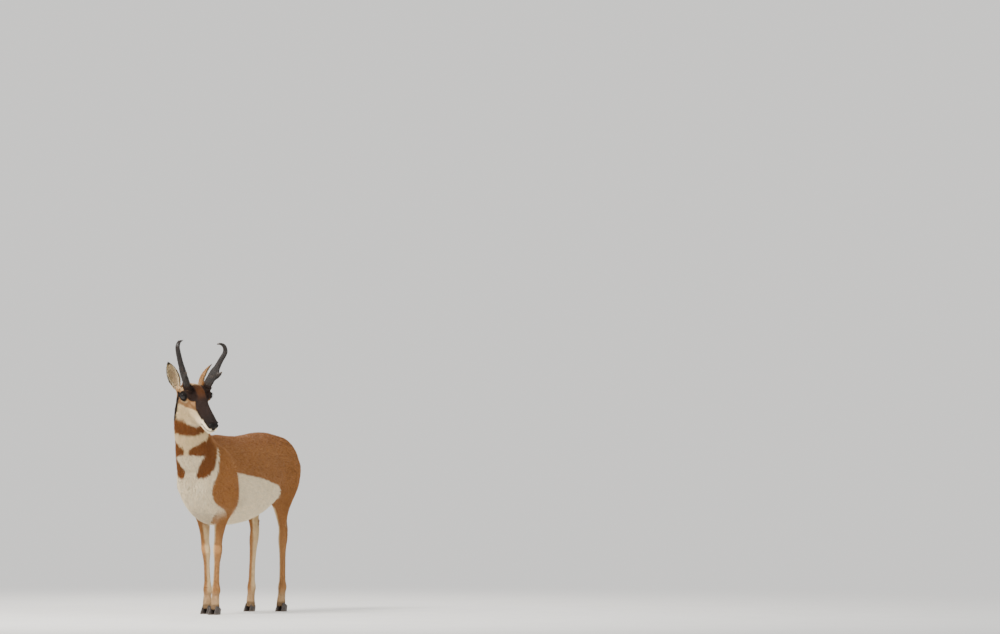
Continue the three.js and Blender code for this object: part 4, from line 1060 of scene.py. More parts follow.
# ------------------------------------------------------------------ hooves
claw_long = along([(0, 61), (20, 57), (46, 47)])
claw_wide = along([(0, 1), (12, 1), (46, 0.86)])
CLAW_WIDTH, CLEFT = 23.0, 3.0
HOOVES = {}
for name in LEGS:
    end, side = name.split("_")
    for inner in (False, True):
        fx_, fy = FOOT[name]
        s = (1 if side == "L" else -1) * (-1 if inner else 1)
        size = 1.04 if end == "fore" else 0.97
        splay = math.radians(4) * s
        na, nr = 72, 26
        qs = np.concatenate([[0.0, 0.0, 0.012, 0.035], np.linspace(0.06, 1.0, nr - 6), [1.05, 1.10]])
        shrink = np.concatenate([[0.0, 0.955, 0.985, 1.0], np.ones(nr - 6), [0.93, 0.80]])
        th = np.linspace(0, 2 * math.pi, na, endpoint=False)
        ct, st = np.cos(th), np.sin(th)
        rows = []
        for q, k in zip(qs, shrink):
            z = np.full(na, q * 33.0)
            for _ in range(3):
                long = claw_long(z) * size
                wide = CLAW_WIDTH * claw_wide(z) * size
                e = 2 / 2.4
                sv = np.sign(st) * np.abs(st) ** e
                b = np.where(sv > 0, long * 0.45, long * 0.55)
                pinch = np.where(sv > 0, 0.12, 0.55) * sv**2
                ring = 1 + 0.010 * np.sin(q * 46 + 0.6 * np.sin(th)) * step(0.05, 0.2, q) * step(1.02, 0.9, q) - 0.012
                u = np.sign(ct) * np.abs(ct) ** e * wide / 2 * (1 - pinch) * k * ring
                v = sv * b * k * ring
                x = fx_ + s * (CLEFT / 2 + wide / 2) + math.sin(splay) * 8
                y = fy - 8 + z * 0.42
                px = x + math.cos(splay) * u - math.sin(splay) * v
                py = y + math.sin(splay) * u + math.cos(splay) * v
                z = q * np.maximum(33.0 - 0.34 * (py - fy), 16.0)
            rows.append(np.stack([px, py, z], 1))
        pv = np.vstack(rows)
        idx = np.arange(len(qs) * na).reshape(len(qs), na)
        nxt = np.roll(idx, -1, 1)
        quads = np.stack([idx[:-1].ravel(), nxt[:-1].ravel(), nxt[1:].ravel(), idx[1:].ravel()], 1)
        top = pv[idx[-1]].mean(0)
        pv = np.vstack([pv, top])
        tris = np.stack([idx[-1], nxt[-1], np.full(na, len(pv) - 1)], 1)
        mid = pv[: len(qs) * na].mean(0)
        d = np.cross(pv[quads[:, 1]] - pv[quads[:, 0]], pv[quads[:, 2]] - pv[quads[:, 0]])
        if ((pv[quads].mean(1) - mid) * d).sum(1).mean() < 0:
            quads, tris = quads[:, ::-1], tris[:, ::-1]
        label = "hoof_%s_%s" % (name, "inner" if inner else "outer")
        ob = make_mesh("claw_%s_%s" % (name, "inner" if inner else "outer"), to_model(pv), [quads, tris])
        qq = np.concatenate([np.repeat(qs, na), [1.1]])
        c = np.tile(srgb(52, 44, 40), (len(pv), 1))
        c = lay(c, srgb(104, 90, 76), 0.5 * step(0.22, 0.0, qq) + 0.25 * np.clip(wobble(pv, 12, 31), 0, 1))
        c = lay(c, srgb(30, 25, 23), 0.5 * step(0.75, 1.0, qq))
        paint(ob, "Marks", c)
        number(ob, "Along", qq)
        HOOVES[label] = ob
say("hooves")


# ------------------------------------------------------------------ the coat
def weights(D):
    names = list(D)
    A = np.stack([np.exp(-np.clip(D[n], -18, 60) / 8.0) for n in names])
    A /= A.sum(0)
    return dict(zip(names, A))


def rows(a, b, c, like):
    return np.stack([np.broadcast_to(np.asarray(k, float), like.shape) for k in (a, b, c)], 1)


def lie(P, N, D, head, W):
    """The way the hair lies: back along the body, down the limbs, up the face."""
    t, l, h = head
    x, y, z = P.T
    ax = np.abs(x)
    down = 0.10 + 0.30 * step(10, 90, ax) + 0.75 * step(-210, -330, y) + 0.55 * step(180, 330, y) * step(40, 110, ax)
    f = rows(0, 1, 0, x) - UPZ * down[:, None]
    chest = step(-330, -400, y)
    f = mix(f, rows(0.0, 0.25, -1.0, x), chest[:, None])
    away = rows(0, 0, 0, x)
    away[:, 0] = x * 0.9
    away[:, 2] = (z - 800) * 0.5 - 40
    away[:, 1] = 18
    f = mix(f, unit(away) * 1.1, (step(365, 425, y))[:, None])
    out = f * W["trunk"][:, None]
    out += unit(rows(0, 0.55, -1.0, x)) * W["neck"][:, None]
    cheek = step(-10, -50, h) * step(90, 0, t)
    hd = -TAX[None] - HAX[None] * (0.55 * cheek)[:, None] + HAX[None] * (0.15 * step(0, 30, h))[:, None]
    hd = hd + LFT[None] * (np.sign(l) * 0.25 * step(10, 40, np.abs(l)) * step(150, 60, t))[:, None]
    out += unit(hd) * W["head"][:, None]
    leg = sum(W[n] for n in LEGS)
    out += unit(rows(0, 0.16, -1.0, x)) * leg[:, None]
    out += unit(rows(0, 0.15, -1.0, x)) * W["tail"][:, None]
    c = np.cross(N, out)
    out = out + c * (0.20 * wobble(P, 60, 41) + 0.12 * wobble(P, 21, 42))[:, None]
    out = out - N * (out * N).sum(1, keepdims=True)
    return unit(out)


def hair(P, D, head, W):
    """Length, width and number per square millimetre of the tufts, in mm."""
    t, l, h = head
    x, y, z = P.T
    leg = sum(W[n] for n in LEGS)
    rump = step(350, 400, y)
    chest = step(-300, -380, y)
    tl = 20 + 8 * rump + 6 * chest - 2 * step(520, 440, z)
    ll = along([(40, 6.0), (120, 6.5), (300, 7.0), (400, 10), (480, 15), (560, 21), (640, 24)])(z)
    hl = along([(-98, 19), (-60, 13), (-20, 9.0), (40, 7.5), (100, 6.2), (150, 5.0), (185, 3.2), (214, 2.2)])(t)
    tw = 2.2 + 0.4 * rump
    lw = along([(40, 1.15), (300, 1.3), (400, 1.6), (500, 2.1), (600, 2.5)])(z)
    hw = along([(-98, 1.9), (-40, 1.35), (20, 1.1), (120, 0.95), (170, 0.75), (214, 0.5)])(t)
    td = 0.066 + 0.02 * rump
    ld = along([(40, 0.24), (300, 0.21), (400, 0.15), (500, 0.095), (600, 0.068)])(z)
    hdn = along([(-98, 0.16), (-50, 0.24), (20, 0.36), (120, 0.42), (170, 0.50), (214, 0.5)])(t)
    near_eye = np.full(len(P), 1e3)
    for s in (1, -1):
        near_eye = np.minimum(near_eye, np.linalg.norm(P - in_head(0, s * EYE_SPREAD, 0), axis=1))
    ne = step(48, 28, near_eye)
    hl, hw = mix(hl, 3.0, ne), mix(hw, 0.75, ne)
    L = tl * W["trunk"] + 20 * W["neck"] + hl * W["head"] + ll * leg + 32 * W["tail"]
    B = tw * W["trunk"] + 1.9 * W["neck"] + hw * W["head"] + lw * leg + 2.2 * W["tail"]
    C = td * W["trunk"] + 0.105 * W["neck"] + hdn * W["head"] + ld * leg + 0.2 * W["tail"]
    return L, B, C


TUFT = np.array([
    (0, 1, 4), (0, 4, 3), (1, 2, 5), (1, 5, 4), (2, 0, 3), (2, 3, 5),
    (3, 4, 6), (4, 5, 6), (5, 3, 6), (0, 2, 1)])


def tuft_mesh(name, p0, p1, p2, f, n, width, c0, c1, c2, uv):
    """Solid tufts of ten triangles: a flat three-sided blade from root to tip."""
    m = len(p0)
    c = unit(np.cross(n, f))
    w = width[:, None]
    V = np.empty((m, 7, 3))
    V[:, 0] = p0 - c * w * 0.36
    V[:, 1] = p0 + c * w * 0.36
    V[:, 2] = p0 + n * w * 0.34
    V[:, 3] = p1 - c * w * 0.50
    V[:, 4] = p1 + c * w * 0.50
    V[:, 5] = p1 + n * w * 0.32
    V[:, 6] = p2
    T = TUFT
    a, b, d = V[:, T[:, 0]], V[:, T[:, 1]], V[:, T[:, 2]]
    vol = (np.cross(b - a, d - a) * (a - V.mean(1)[:, None])).sum((1, 2))
    if np.median(vol) < 0:
        T = T[:, ::-1]
    F = (T[None] + 7 * np.arange(m)[:, None, None]).reshape(-1, 3)
    ob = make_mesh(name, to_model(V.reshape(-1, 3)), F)
    C = np.empty((m, 7, 3))
    C[:, 0:3] = c0[:, None]
    C[:, 3:6] = c1[:, None]
    C[:, 6] = c2
    paint(ob, "Marks", np.clip(C, 0, 1).reshape(-1, 3))
    off = np.array([(-0.0012, 0), (0.0012, 0), (0, 0.0002), (-0.0015, 0.0015), (0.0015, 0.0015), (0, 0.0017), (0, 0.003)])
    U = np.clip(uv, 0.004, 0.992)[:, None] + off[None]
    layer = ob.data.uv_layers.new(name="OFBake")
    layer.data.foreach_set("uv", U.reshape(-1, 2)[F.reshape(-1)].astype(np.float32).reshape(-1))
    ob.data.uv_layers.active = layer
    return ob


# each tuft's root, middle and tip colours, with random lightness and warmth per tuft: the root darker as painted shade
# deep in the coat, the tip a little lighter as painted light on the hair tips
def shades(c, n, rng, clump, dark=0.78, tip=1.07):
    k = (1 + 0.06 * rng.normal(size=n) + 0.045 * clump)[:, None]
    warm = 1 + rng.normal(size=(n, 1)) * np.array([[0.015, 0.0, -0.03]])
    c = c * np.clip(k, 0.7, 1.35) * warm
    light = (c.mean(1) > 0.45)[:, None]
    return c * np.where(light, 0.93, dark), c, c * np.where(light, 1.02, tip)


SHARE = 0.865
tri = np.array([(f[0], f[i], f[i + 1]) for f in FACES for i in range(1, len(f) - 1)])
A, B, C = (SKIN_V[tri[:, k]] for k in range(3))
area = 0.5 * np.linalg.norm(np.cross(B - A, C - A), axis=1)
WV = weights(PARTS)
LV, BV, CV = hair(V, PARTS, HEAD_TLH, WV)
bare = np.clip(NOSE * 1.6, 0, 1)
dens = (CV * (1 - bare))[tri].mean(1)
cum = np.cumsum(area * dens)
N_BODY = int(cum[-1] * SHARE)
say("tufts wanted", N_BODY, "area m2", area.sum() / 1e6)
pick = np.searchsorted(cum, RNG.uniform(0, cum[-1], N_BODY))
r1, r2 = np.sqrt(RNG.uniform(size=N_BODY)), RNG.uniform(size=N_BODY)
bary = np.stack([1 - r1, r1 * (1 - r2), r1 * r2], 1)


def blend_at(arr):
    a = arr[tri[pick]]
    return (a * (bary[..., None] if a.ndim == 3 else bary)).sum(1)


ROOT, OUTER, NRM, DEEP = blend_at(SKIN_V), blend_at(V), unit(blend_at(NORMAL)), blend_at(DEPTH)
keep = np.ones(N_BODY, bool)
# none inside the eye opening, the mouth, the nostrils or under the horns
for s, n in ((1, "L"), (-1, "R")):
    c = in_head(0, s * EYE_SPREAD, 0)
    d = np.linalg.norm(OUTER - c, axis=1)
    keep &= ~((d < EYE_RADIUS + 1.5) & ((OUTER - c) @ EYE_OUT[n] > -6))
    near = np.where(np.linalg.norm(OUTER - near_head(8, s * 55, 42), axis=1) < 45)[0]
    if len(near):
        keep[near[horn_field(OUTER[near], n, False) < 1.0]] = False
tt, ll_, hh = to_head(OUTER)
mh = -33 - 0.0016 * (208 - tt) ** 2 * step(208, 150, tt) - 7 * step(165, 140, tt)
keep &= ~((tt > 146) & (np.abs(hh - mh) < 2.3))
keep &= ~((np.abs(OUTER[:, 2] - 30) < 30) & (in_chunks(lambda P: body_field(P, False), OUTER) > 3))
ROOT, OUTER, NRM, DEEP = ROOT[keep], OUTER[keep], NRM[keep], DEEP[keep]
n_ = len(ROOT)
RD = part_distances(OUTER)
RH = to_head(OUTER)
RW = weights(RD)
RL, RB, _ = hair(OUTER, RD, RH, RW)
FLOW = lie(OUTER, NRM, RD, RH, RW)
# a tuft shows at its outer half, so it takes its colour from there
SHOWN = OUTER + FLOW * (RL * 0.58)[:, None]
SHOWN -= NRM * in_chunks(lambda Q_: body_field(Q_, False), SHOWN)[:, None]
RC = markings(SHOWN, NRM)[0]
clump = wobble(OUTER, 24, 51) + 0.5 * wobble(OUTER, 9, 52)
L = RL * RNG.uniform(0.78, 1.18, n_) * (1 + 0.12 * clump)
B = RB * RNG.uniform(0.75, 1.2, n_)
FLOW = unit(FLOW + np.cross(NRM, FLOW) * (RNG.normal(size=n_) * 0.10)[:, None])
hm = DEEP * np.clip(0.52 + 0.10 * clump + 0.12 * RNG.normal(size=n_), 0.2, 0.85)
ht = DEEP * np.clip(0.74 + 0.14 * clump + 0.16 * RNG.normal(size=n_), 0.25, 1.0)
P0 = ROOT - NRM * 0.5
P1 = ROOT + FLOW * (L * 0.47)[:, None] + NRM * hm[:, None]
P2 = ROOT + FLOW * (L * 0.97)[:, None] + NRM * ht[:, None]
for Pk, hk, lim in ((P1, hm, 5.0), (P2, ht, 9.0)):
    f = in_chunks(lambda Q_: body_field(Q_, False), Pk)
    want = -(DEEP - hk)
    Pk += NRM * np.clip(want - f, -lim, lim)[:, None] * np.where(RW["head"] > 0.5, step(3.0, 6.0, L), 1.0)[:, None]
P2 = np.where(P2[:, 2:3] < 3, np.concatenate([P2[:, :2], np.full((n_, 1), 3.0)], 1), P2)
# roots darkened as painted shade in the coat, tips lightened as painted light
C0, C1, C2 = shades(RC, n_, RNG, clump)
say("tufts laid", n_)

# what part each root belongs to, and where it lies on an unwrap of that part
names = list(RD)
part = np.stack([RW[k] for k in names]).argmax(0)
x, y, z = OUTER.T
UV = np.zeros((n_, 2))
group = np.full(n_, "", dtype=object)


def around(u, v):
    return np.arctan2(u, v) / (2 * math.pi) + 0.5


for i, k in enumerate(names):
    m = part == i
    if not m.any():
        continue
    if k == "trunk":
        UV[m] = np.stack([around(x[m], z[m] - 640), (y[m] + 470) / 960], 1)
        cut = np.digitize(y[m], [-265, -95, 80, 245, 360])
        group[m] = ["coat_trunk_%d" % (c + 1) for c in cut]
    elif k == "neck":
        zl, u, v, *_ = neck_local(OUTER[m])
        UV[m] = np.stack([around(u, -v), (z[m] - 600) / 460], 1)
        group[m] = "coat_neck"
    elif k == "head":
        t, l, h = to_head(OUTER[m])
        UV[m] = np.stack([around(l, h + 22), (t + 110) / 335], 1)
        group[m] = ["coat_head_left" if q > 0 else "coat_head_right" for q in l]
    elif k == "tail":
        UV[m] = np.stack([around(x[m], y[m] - 470), (z[m] - 660) / 170], 1)
        group[m] = "coat_tail"
    else:
        x0, y0 = leg_middle(k, z[m])
        a = around(x[m] - x0, y[m] - y0)
        UV[m] = np.stack([a * 0.48 + (0.51 if k.endswith("R") else 0.01), z[m] / 720], 1)
        group[m] = "coat_" + k.split("_")[0] + "legs"
COATS = []
for gname in sorted(set(group)):
    m = np.where(group == gname)[0]
    for j, part_ in enumerate(np.array_split(m, int(math.ceil(len(m) / 19500)))):
        ob = tuft_mesh(
            gname + ("_%d" % (j + 1) if len(m) > 19500 else ""),
            P0[part_], P1[part_], P2[part_], FLOW[part_], NRM[part_], B[part_], C0[part_], C1[part_], C2[part_], UV[part_])
        COATS.append(ob)
        say(ob.name, len(part_))


# dark and tip set the painted shade at the roots and the painted light at the tips of these tufts
def extra(name, R, D0, D1, D2, nrm, width, col, uv, dark=0.75, tip=1.1):
    rng = np.random.default_rng(len(R) + 5)
    a, b, c = shades(col, len(R), rng, np.zeros(len(R)), dark, tip)
    f = unit(D2 - D0)
    nrm = unit(nrm - f * (nrm * f).sum(1, keepdims=True))
    ob = tuft_mesh(name, D0, D1, D2, f, nrm, width, a, b, c, uv)
    COATS.append(ob)
    return ob


# ears: short hair on the back, longer pale hair inside the front edges
ears_ = {k: [] for k in ("R", "D0", "D1", "D2", "nrm", "width", "col", "uv")}
for side in "LR":
    ev, eq, eqq, eaa, einner = EARS[side]
    base, axis, facing, across = ear_axes(side)
    A_, B_, C_ = ev[eq[:, 0]], ev[eq[:, 1]], ev[eq[:, 2]]
    fn = unit(np.cross(B_ - A_, C_ - A_))
    fa = np.linalg.norm(np.cross(B_ - A_, C_ - A_), axis=1)
    cum = np.cumsum(fa)
    n = int(cum[-1] * (0.33 * SHARE))
    pk = np.searchsorted(cum, RNG.uniform(0, cum[-1], n))
    b4 = RNG.dirichlet([1, 1, 1, 1], n)
    R = (ev[eq[pk]] * b4[..., None]).sum(1)
    nn = fn[pk]
    q = (eqq[eq[pk]] * b4).sum(1)
    a = (eaa[eq[pk]] * b4).sum(1)
    inn = einner[eq[pk]].mean(1)
    ok = q > 0.015
    R, nn, q, a, inn = R[ok], nn[ok], q[ok], a[ok], inn[ok]
    n = len(R)
    col = ear_colour(side, q, a, inn, R)
    edge = 1 - np.minimum(a, 1 - a) * 2
    inside = inn > 0.5
    longer = inside * step(0.5, 0.85, edge) * step(0.95, 0.6, q)
    f = axis[None] + across[None] * ((a - 0.5) * 0.25)[:, None] + facing[None] * (0.5 * longer)[:, None]
    f = f + across[None] * (np.sign(a - 0.5) * longer * 0.55)[:, None]
    f = unit(f - nn * (f * nn).sum(1, keepdims=True) * (1 - 0.8 * longer)[:, None] + RNG.normal(size=(n, 3)) * 0.10)
    Lr = (5.6 + 6.5 * longer + 3.5 * step(0.25, 0.0, q)) * RNG.uniform(0.75, 1.2, n) * mix(1.0, 0.6, step(0.85, 1.0, q))
    lift = 0.9 + 1.3 * longer
    D0 = R - nn * 0.4
    D1 = R + f * (Lr * 0.48)[:, None] + nn * (lift * 0.7)[:, None]
    D2 = R + f * Lr[:, None] + nn * lift[:, None]
    w = (1.05 + 0.2 * longer) * RNG.uniform(0.8, 1.2, n)
    uv = np.stack([((0 if side == "L" else 2) + (inn > 0.5) + a * 0.96 + 0.02) / 4, np.clip(q, 0, 1) * 0.96 + 0.02], 1)
    for key, val in zip(("R", "D0", "D1", "D2", "nrm", "width", "col", "uv"), (R, D0, D1, D2, nn, w, col, uv)):
        ears_[key].append(val)
ears_ = {k: np.concatenate(v) for k, v in ears_.items()}
extra("coat_ears", **ears_)
say("ear tufts", len(ears_["R"]))

# mane: erect darker hair down the nape; lashes over the eyes
zl, u, v, nf, nb, nm = neck_local(OUTER)
phi = np.degrees(np.arctan2(np.abs(u), -v))
m = np.where((phi > 163) & (z > 790) & (z < 985) & (RW["neck"] > 0.3))[0]
m = m[: int(2600)]
if len(m):
    n = len(m)
    rng = np.random.default_rng(9)
    Lm = 30 * rng.uniform(0.7, 1.1, n) * step(785, 830, z[m]) + 8
    up = unit(NRM[m] * 0.42 + FLOW[m] * 0.9 + rng.normal(size=(n, 3)) * 0.07)
    D0 = ROOT[m] - NRM[m] * 0.5
    D1 = ROOT[m] + up * (Lm * 0.5)[:, None]
    D2 = ROOT[m] + unit(up * 0.8 + FLOW[m] * 0.35) * Lm[:, None]
    col = lay(np.tile(DARK_RUST, (n, 1)), BROWN_BLACK, step(163, 174, phi[m]))
    extra("coat_mane", ROOT[m], D0, D1, D2, NRM[m], 1.9 * rng.uniform(0.7, 1.2, n), col, UV[m])
ring_ = {k: [] for k in ("R", "D0", "D1", "D2", "nrm", "width", "col", "uv")}
rng = np.random.default_rng(13)
for side, s in (("L", 1), ("R", -1)):
    main, prong, ahead = HORNS[side][:3]
    k = 620
    th = rng.uniform(0, 2 * math.pi, k)
    q = rng.uniform(0.0, 0.028, k)
    i = np.round(q * (len(main.p) - 1)).astype(int)
    tan = main.t[i]
    v = unit(ahead - tan * (tan @ ahead)[:, None])
    u = np.cross(v, tan)
    out = u * np.sin(th)[:, None] * horn_side(q)[:, None] + v * np.cos(th)[:, None] * horn_deep(q)[:, None]
    R = main.p[i] - tan * rng.uniform(0, 5, k)[:, None] + out * 1.0
    o = unit(out)
    back = step(0.1, -0.7, np.cos(th))
    ln = rng.uniform(11, 19, k) * (1 + 0.4 * back)
    d1 = unit(tan + o * 0.42 + rng.normal(size=(k, 3)) * 0.07)
    d2 = unit(tan + o * 0.02 + rng.normal(size=(k, 3)) * 0.05)
    D0 = R - d1 * 3
    D1 = R + d1 * (ln * 0.42)[:, None]
    D2 = D1 + d2 * (ln * 0.5)[:, None]
    col = lay(np.tile(BROWN_BLACK, (k, 1)), TAN, back * 0.9)
    for key, val in zip(ring_, (R, D0, D1, D2, o, rng.uniform(1.2, 1.8, k), col, np.stack([(0.25 + 0.5 * (s < 0)) + 0.2 * th / 6.28, 0.3 + 6 * q], 1))):
        ring_[key].append(val)
ring_ = {k: np.concatenate(v) for k, v in ring_.items()}
extra("coat_horn_foot", **ring_)
lash = {k: [] for k in ("R", "D0", "D1", "D2", "nrm", "width", "col", "uv")}
rng = np.random.default_rng(11)
for s, n in ((1, "L"), (-1, "R")):
    c = in_head(0, s * EYE_SPREAD, 0)
    out = EYE_OUT[n]
    fw = TAX * 0.95 - HAX * 0.18
    fw = unit(fw - out * (fw @ out))
    up = np.cross(out, fw) * s
    up = up if up @ HAX > 0 else -up
    k = 130
    ang = np.radians(rng.uniform(18, 162, k))
    lo_r, hi_r = np.zeros(k), np.full(k, 26.0)
    R_ = EYE_RADIUS + 2.0
    for _ in range(22):
        r = (lo_r + hi_r) / 2
        f, g = r * np.cos(ang), r * np.sin(ang)
        o = np.sqrt(np.maximum(R_**2 - r**2, 1))
        val = np.sqrt((f / 0.76) ** 2 + ((g + 1.0) / 0.53) ** 2) - o * 1.18 - 1.2
        lo_r, hi_r = np.where(val < 0, r, lo_r), np.where(val < 0, hi_r, r)
    r = (lo_r + hi_r) / 2 + rng.uniform(-0.2, 0.9, k)
    f, g = r * np.cos(ang), r * np.sin(ang)
    o = np.sqrt(np.maximum(R_**2 - r**2, 1))
    R = c + out * o[:, None] + fw * f[:, None] + up * g[:, None]
    ll2 = rng.uniform(5.5, 8.5, k) * (0.6 + 0.4 * np.sin(ang))
    d1 = unit(out[None] * 0.9 + fw[None] * (np.cos(ang) * 0.55)[:, None] + up[None] * 0.05 + rng.normal(size=(k, 3)) * 0.08)
    d2 = unit(out[None] * 0.7 + fw[None] * (np.cos(ang) * 0.65)[:, None] + up[None] * 0.42)
    D0, D1 = R - d1 * 0.6, R + d1 * (ll2 * 0.5)[:, None]
    D2 = D1 + d2 * (ll2 * 0.5)[:, None]
    for key, val in zip(("R", "D0", "D1", "D2", "nrm", "width", "col", "uv"), (
            R, D0, D1, D2, np.tile(up, (k, 1)), rng.uniform(0.45, 0.7, k), np.tile(BLACK, (k, 1)),
            np.stack([0.25 + 0.5 * (s < 0) + 0.15 * np.cos(ang), 0.5 + 0.2 * np.sin(ang)], 1))):
        lash[key].append(val)
lash = {k: np.concatenate(v) for k, v in lash.items()}
extra("coat_lashes", **lash)
say("coat pieces", len(COATS), "triangles", sum(len(o.data.polygons) for o in COATS))


# ------------------------------------------------------------------ materials
def material(name):
    m = bpy.data.materials.new(name)
    m.use_nodes = True
    nt = m.node_tree
    nt.nodes.clear()
    out = nt.nodes.new("ShaderNodeOutputMaterial")
    bs = nt.nodes.new("ShaderNodeBsdfPrincipled")
    nt.links.new(bs.outputs[0], out.inputs[0])
    return m, nt, bs, out


def node(nt, kind, inputs=None, **props):
    n = nt.nodes.new(kind)
    for k, v in props.items():
        setattr(n, k, v)
    for k, v in (inputs or {}).items():
        if isinstance(v, bpy.types.NodeSocket):
            nt.links.new(v, n.inputs[k])
        else:
            n.inputs[k].default_value = v
    return n


def mapped(nt, value, a, b, c, d):
    return node(nt, "ShaderNodeMapRange", {"Value": value, "From Min": a, "From Max": b, "To Min": c, "To Max": d}).outputs[0]


def scaled(nt, colour, value):
    return node(nt, "ShaderNodeVectorMath", {0: colour, 1: node(nt, "ShaderNodeCombineXYZ", {0: value, 1: value, 2: value}).outputs[0]}, operation="MULTIPLY").outputs[0]


def coat_material(name, fine):
    m, nt, bs, out = material(name)
    marks = node(nt, "ShaderNodeAttribute", attribute_name="Marks").outputs["Color"]
    co = node(nt, "ShaderNodeTexCoord").outputs["Object"]
    n1 = node(nt, "ShaderNodeTexNoise", {"Vector": co, "Scale": 70.0, "Detail": 4.0, "Roughness": 0.6}).outputs[0]
    n2 = node(nt, "ShaderNodeTexNoise", {"Vector": co, "Scale": 520.0 if fine else 900.0, "Detail": 3.0, "Roughness": 0.65}).outputs[0]
    v1 = mapped(nt, n1, 0.3, 0.7, 0.93, 1.06)
    v2 = mapped(nt, n2, 0.3, 0.7, 0.86, 1.10)
    col = scaled(nt, scaled(nt, marks, v1), v2)
    nt.links.new(col, bs.inputs["Base Color"])
    nt.links.new(mapped(nt, n2, 0.3, 0.7, 0.62, 0.84), bs.inputs["Roughness"])
    bs.inputs["Specular IOR Level"].default_value = 0.13
    bs.inputs["Sheen Weight"].default_value = 0.04
    bs.inputs["Sheen Roughness"].default_value = 0.55
    bump = node(nt, "ShaderNodeBump", {"Height": n2, "Strength": 0.45 if fine else 0.35, "Distance": 0.0007})
    nt.links.new(bump.outputs[0], bs.inputs["Normal"])
    return m, nt, bs, bump, co


coat_mat, *_ = coat_material("coat_hair", False)
skin_mat, nt, bs, bump, co = coat_material("coat_skin", True)
bare_ = node(nt, "ShaderNodeAttribute", attribute_name="Bare").outputs["Fac"]
peb = node(nt, "ShaderNodeTexVoronoi", {"Vector": co, "Scale": 620.0}).outputs["Distance"]
b2 = node(nt, "ShaderNodeBump", {"Height": peb, "Strength": mapped(nt, bare_, 0.2, 1.0, 0.0, 0.7), "Distance": 0.0006, "Normal": bump.outputs[0]})
nt.links.new(b2.outputs[0], bs.inputs["Normal"])
rough = node(nt, "ShaderNodeMath", {0: mapped(nt, bare_, 0.2, 1.0, 0.78, 0.36), 1: mapped(nt, peb, 0.0, 0.6, 0.95, 1.08)}, operation="MULTIPLY").outputs[0]
nt.links.new(rough, bs.inputs["Roughness"])

horn_mat, nt, bs, out = material("horn_sheath")
marks = node(nt, "ShaderNodeAttribute", attribute_name="Marks").outputs["Color"]
al_, po, ro, ro2 = [node(nt, "ShaderNodeAttribute", attribute_name=k).outputs["Fac"] for k in ("Along", "Polish", "Round", "Round2")]
vec = node(nt, "ShaderNodeCombineXYZ", {
    0: node(nt, "ShaderNodeMath", {0: al_, 1: 4.0}, operation="MULTIPLY").outputs[0],
    1: node(nt, "ShaderNodeMath", {0: ro, 1: 9.0}, operation="MULTIPLY").outputs[0],
    2: node(nt, "ShaderNodeMath", {0: ro2, 1: 9.0}, operation="MULTIPLY").outputs[0]}).outputs[0]
streak = node(nt, "ShaderNodeTexNoise", {"Vector": vec, "Scale": 2.2, "Detail": 6.0, "Roughness": 0.68}).outputs[0]
co = node(nt, "ShaderNodeTexCoord").outputs["Object"]
grit = node(nt, "ShaderNodeTexNoise", {"Vector": co, "Scale": 260.0, "Detail": 5.0, "Roughness": 0.7}).outputs[0]
nt.links.new(scaled(nt, scaled(nt, marks, mapped(nt, streak, 0.3, 0.7, 0.62, 1.5)), mapped(nt, grit, 0.3, 0.7, 0.85, 1.15)), bs.inputs["Base Color"])
rr = node(nt, "ShaderNodeMath", {0: mapped(nt, po, 0.0, 1.0, 0.62, 0.27), 1: mapped(nt, grit, 0.3, 0.7, 0.85, 1.15)}, operation="MULTIPLY").outputs[0]
nt.links.new(rr, bs.inputs["Roughness"])
bs.inputs["Specular IOR Level"].default_value = 0.36
h1 = node(nt, "ShaderNodeMath", {0: streak, 1: mapped(nt, po, 0.0, 1.0, 1.0, 0.15)}, operation="MULTIPLY").outputs[0]
b1 = node(nt, "ShaderNodeBump", {"Height": h1, "Strength": 0.9, "Distance": 0.0022})
b2 = node(nt, "ShaderNodeBump", {"Height": grit, "Strength": mapped(nt, po, 0.0, 1.0, 0.5, 0.08), "Distance": 0.0007, "Normal": b1.outputs[0]})
nt.links.new(b2.outputs[0], bs.inputs["Normal"])

hoof_mat, nt, bs, out = material("hoof_horn")
marks = node(nt, "ShaderNodeAttribute", attribute_name="Marks").outputs["Color"]
al_ = node(nt, "ShaderNodeAttribute", attribute_name="Along").outputs["Fac"]
co = node(nt, "ShaderNodeTexCoord").outputs["Object"]
vec = node(nt, "ShaderNodeVectorMath", {0: co, 1: (1.0, 1.0, 0.12)}, operation="MULTIPLY").outputs[0]
fibre = node(nt, "ShaderNodeTexNoise", {"Vector": vec, "Scale": 520.0, "Detail": 5.0, "Roughness": 0.65}).outputs[0]
dust = node(nt, "ShaderNodeTexNoise", {"Vector": co, "Scale": 90.0, "Detail": 5.0, "Roughness": 0.7}).outputs[0]
ring = node(nt, "ShaderNodeMath", {0: node(nt, "ShaderNodeMath", {0: al_, 1: 58.0}, operation="MULTIPLY").outputs[0]}, operation="SINE").outputs[0]
nt.links.new(scaled(nt, scaled(nt, marks, mapped(nt, fibre, 0.3, 0.7, 0.78, 1.25)), mapped(nt, dust, 0.35, 0.7, 0.9, 1.35)), bs.inputs["Base Color"])
nt.links.new(mapped(nt, dust, 0.3, 0.7, 0.36, 0.66), bs.inputs["Roughness"])
hh_ = node(nt, "ShaderNodeMath", {0: fibre, 1: mapped(nt, ring, -1.0, 1.0, 0.0, 0.35)}, operation="ADD").outputs[0]
nt.links.new(node(nt, "ShaderNodeBump", {"Height": hh_, "Strength": 0.5, "Distance": 0.0006}).outputs[0], bs.inputs["Normal"])

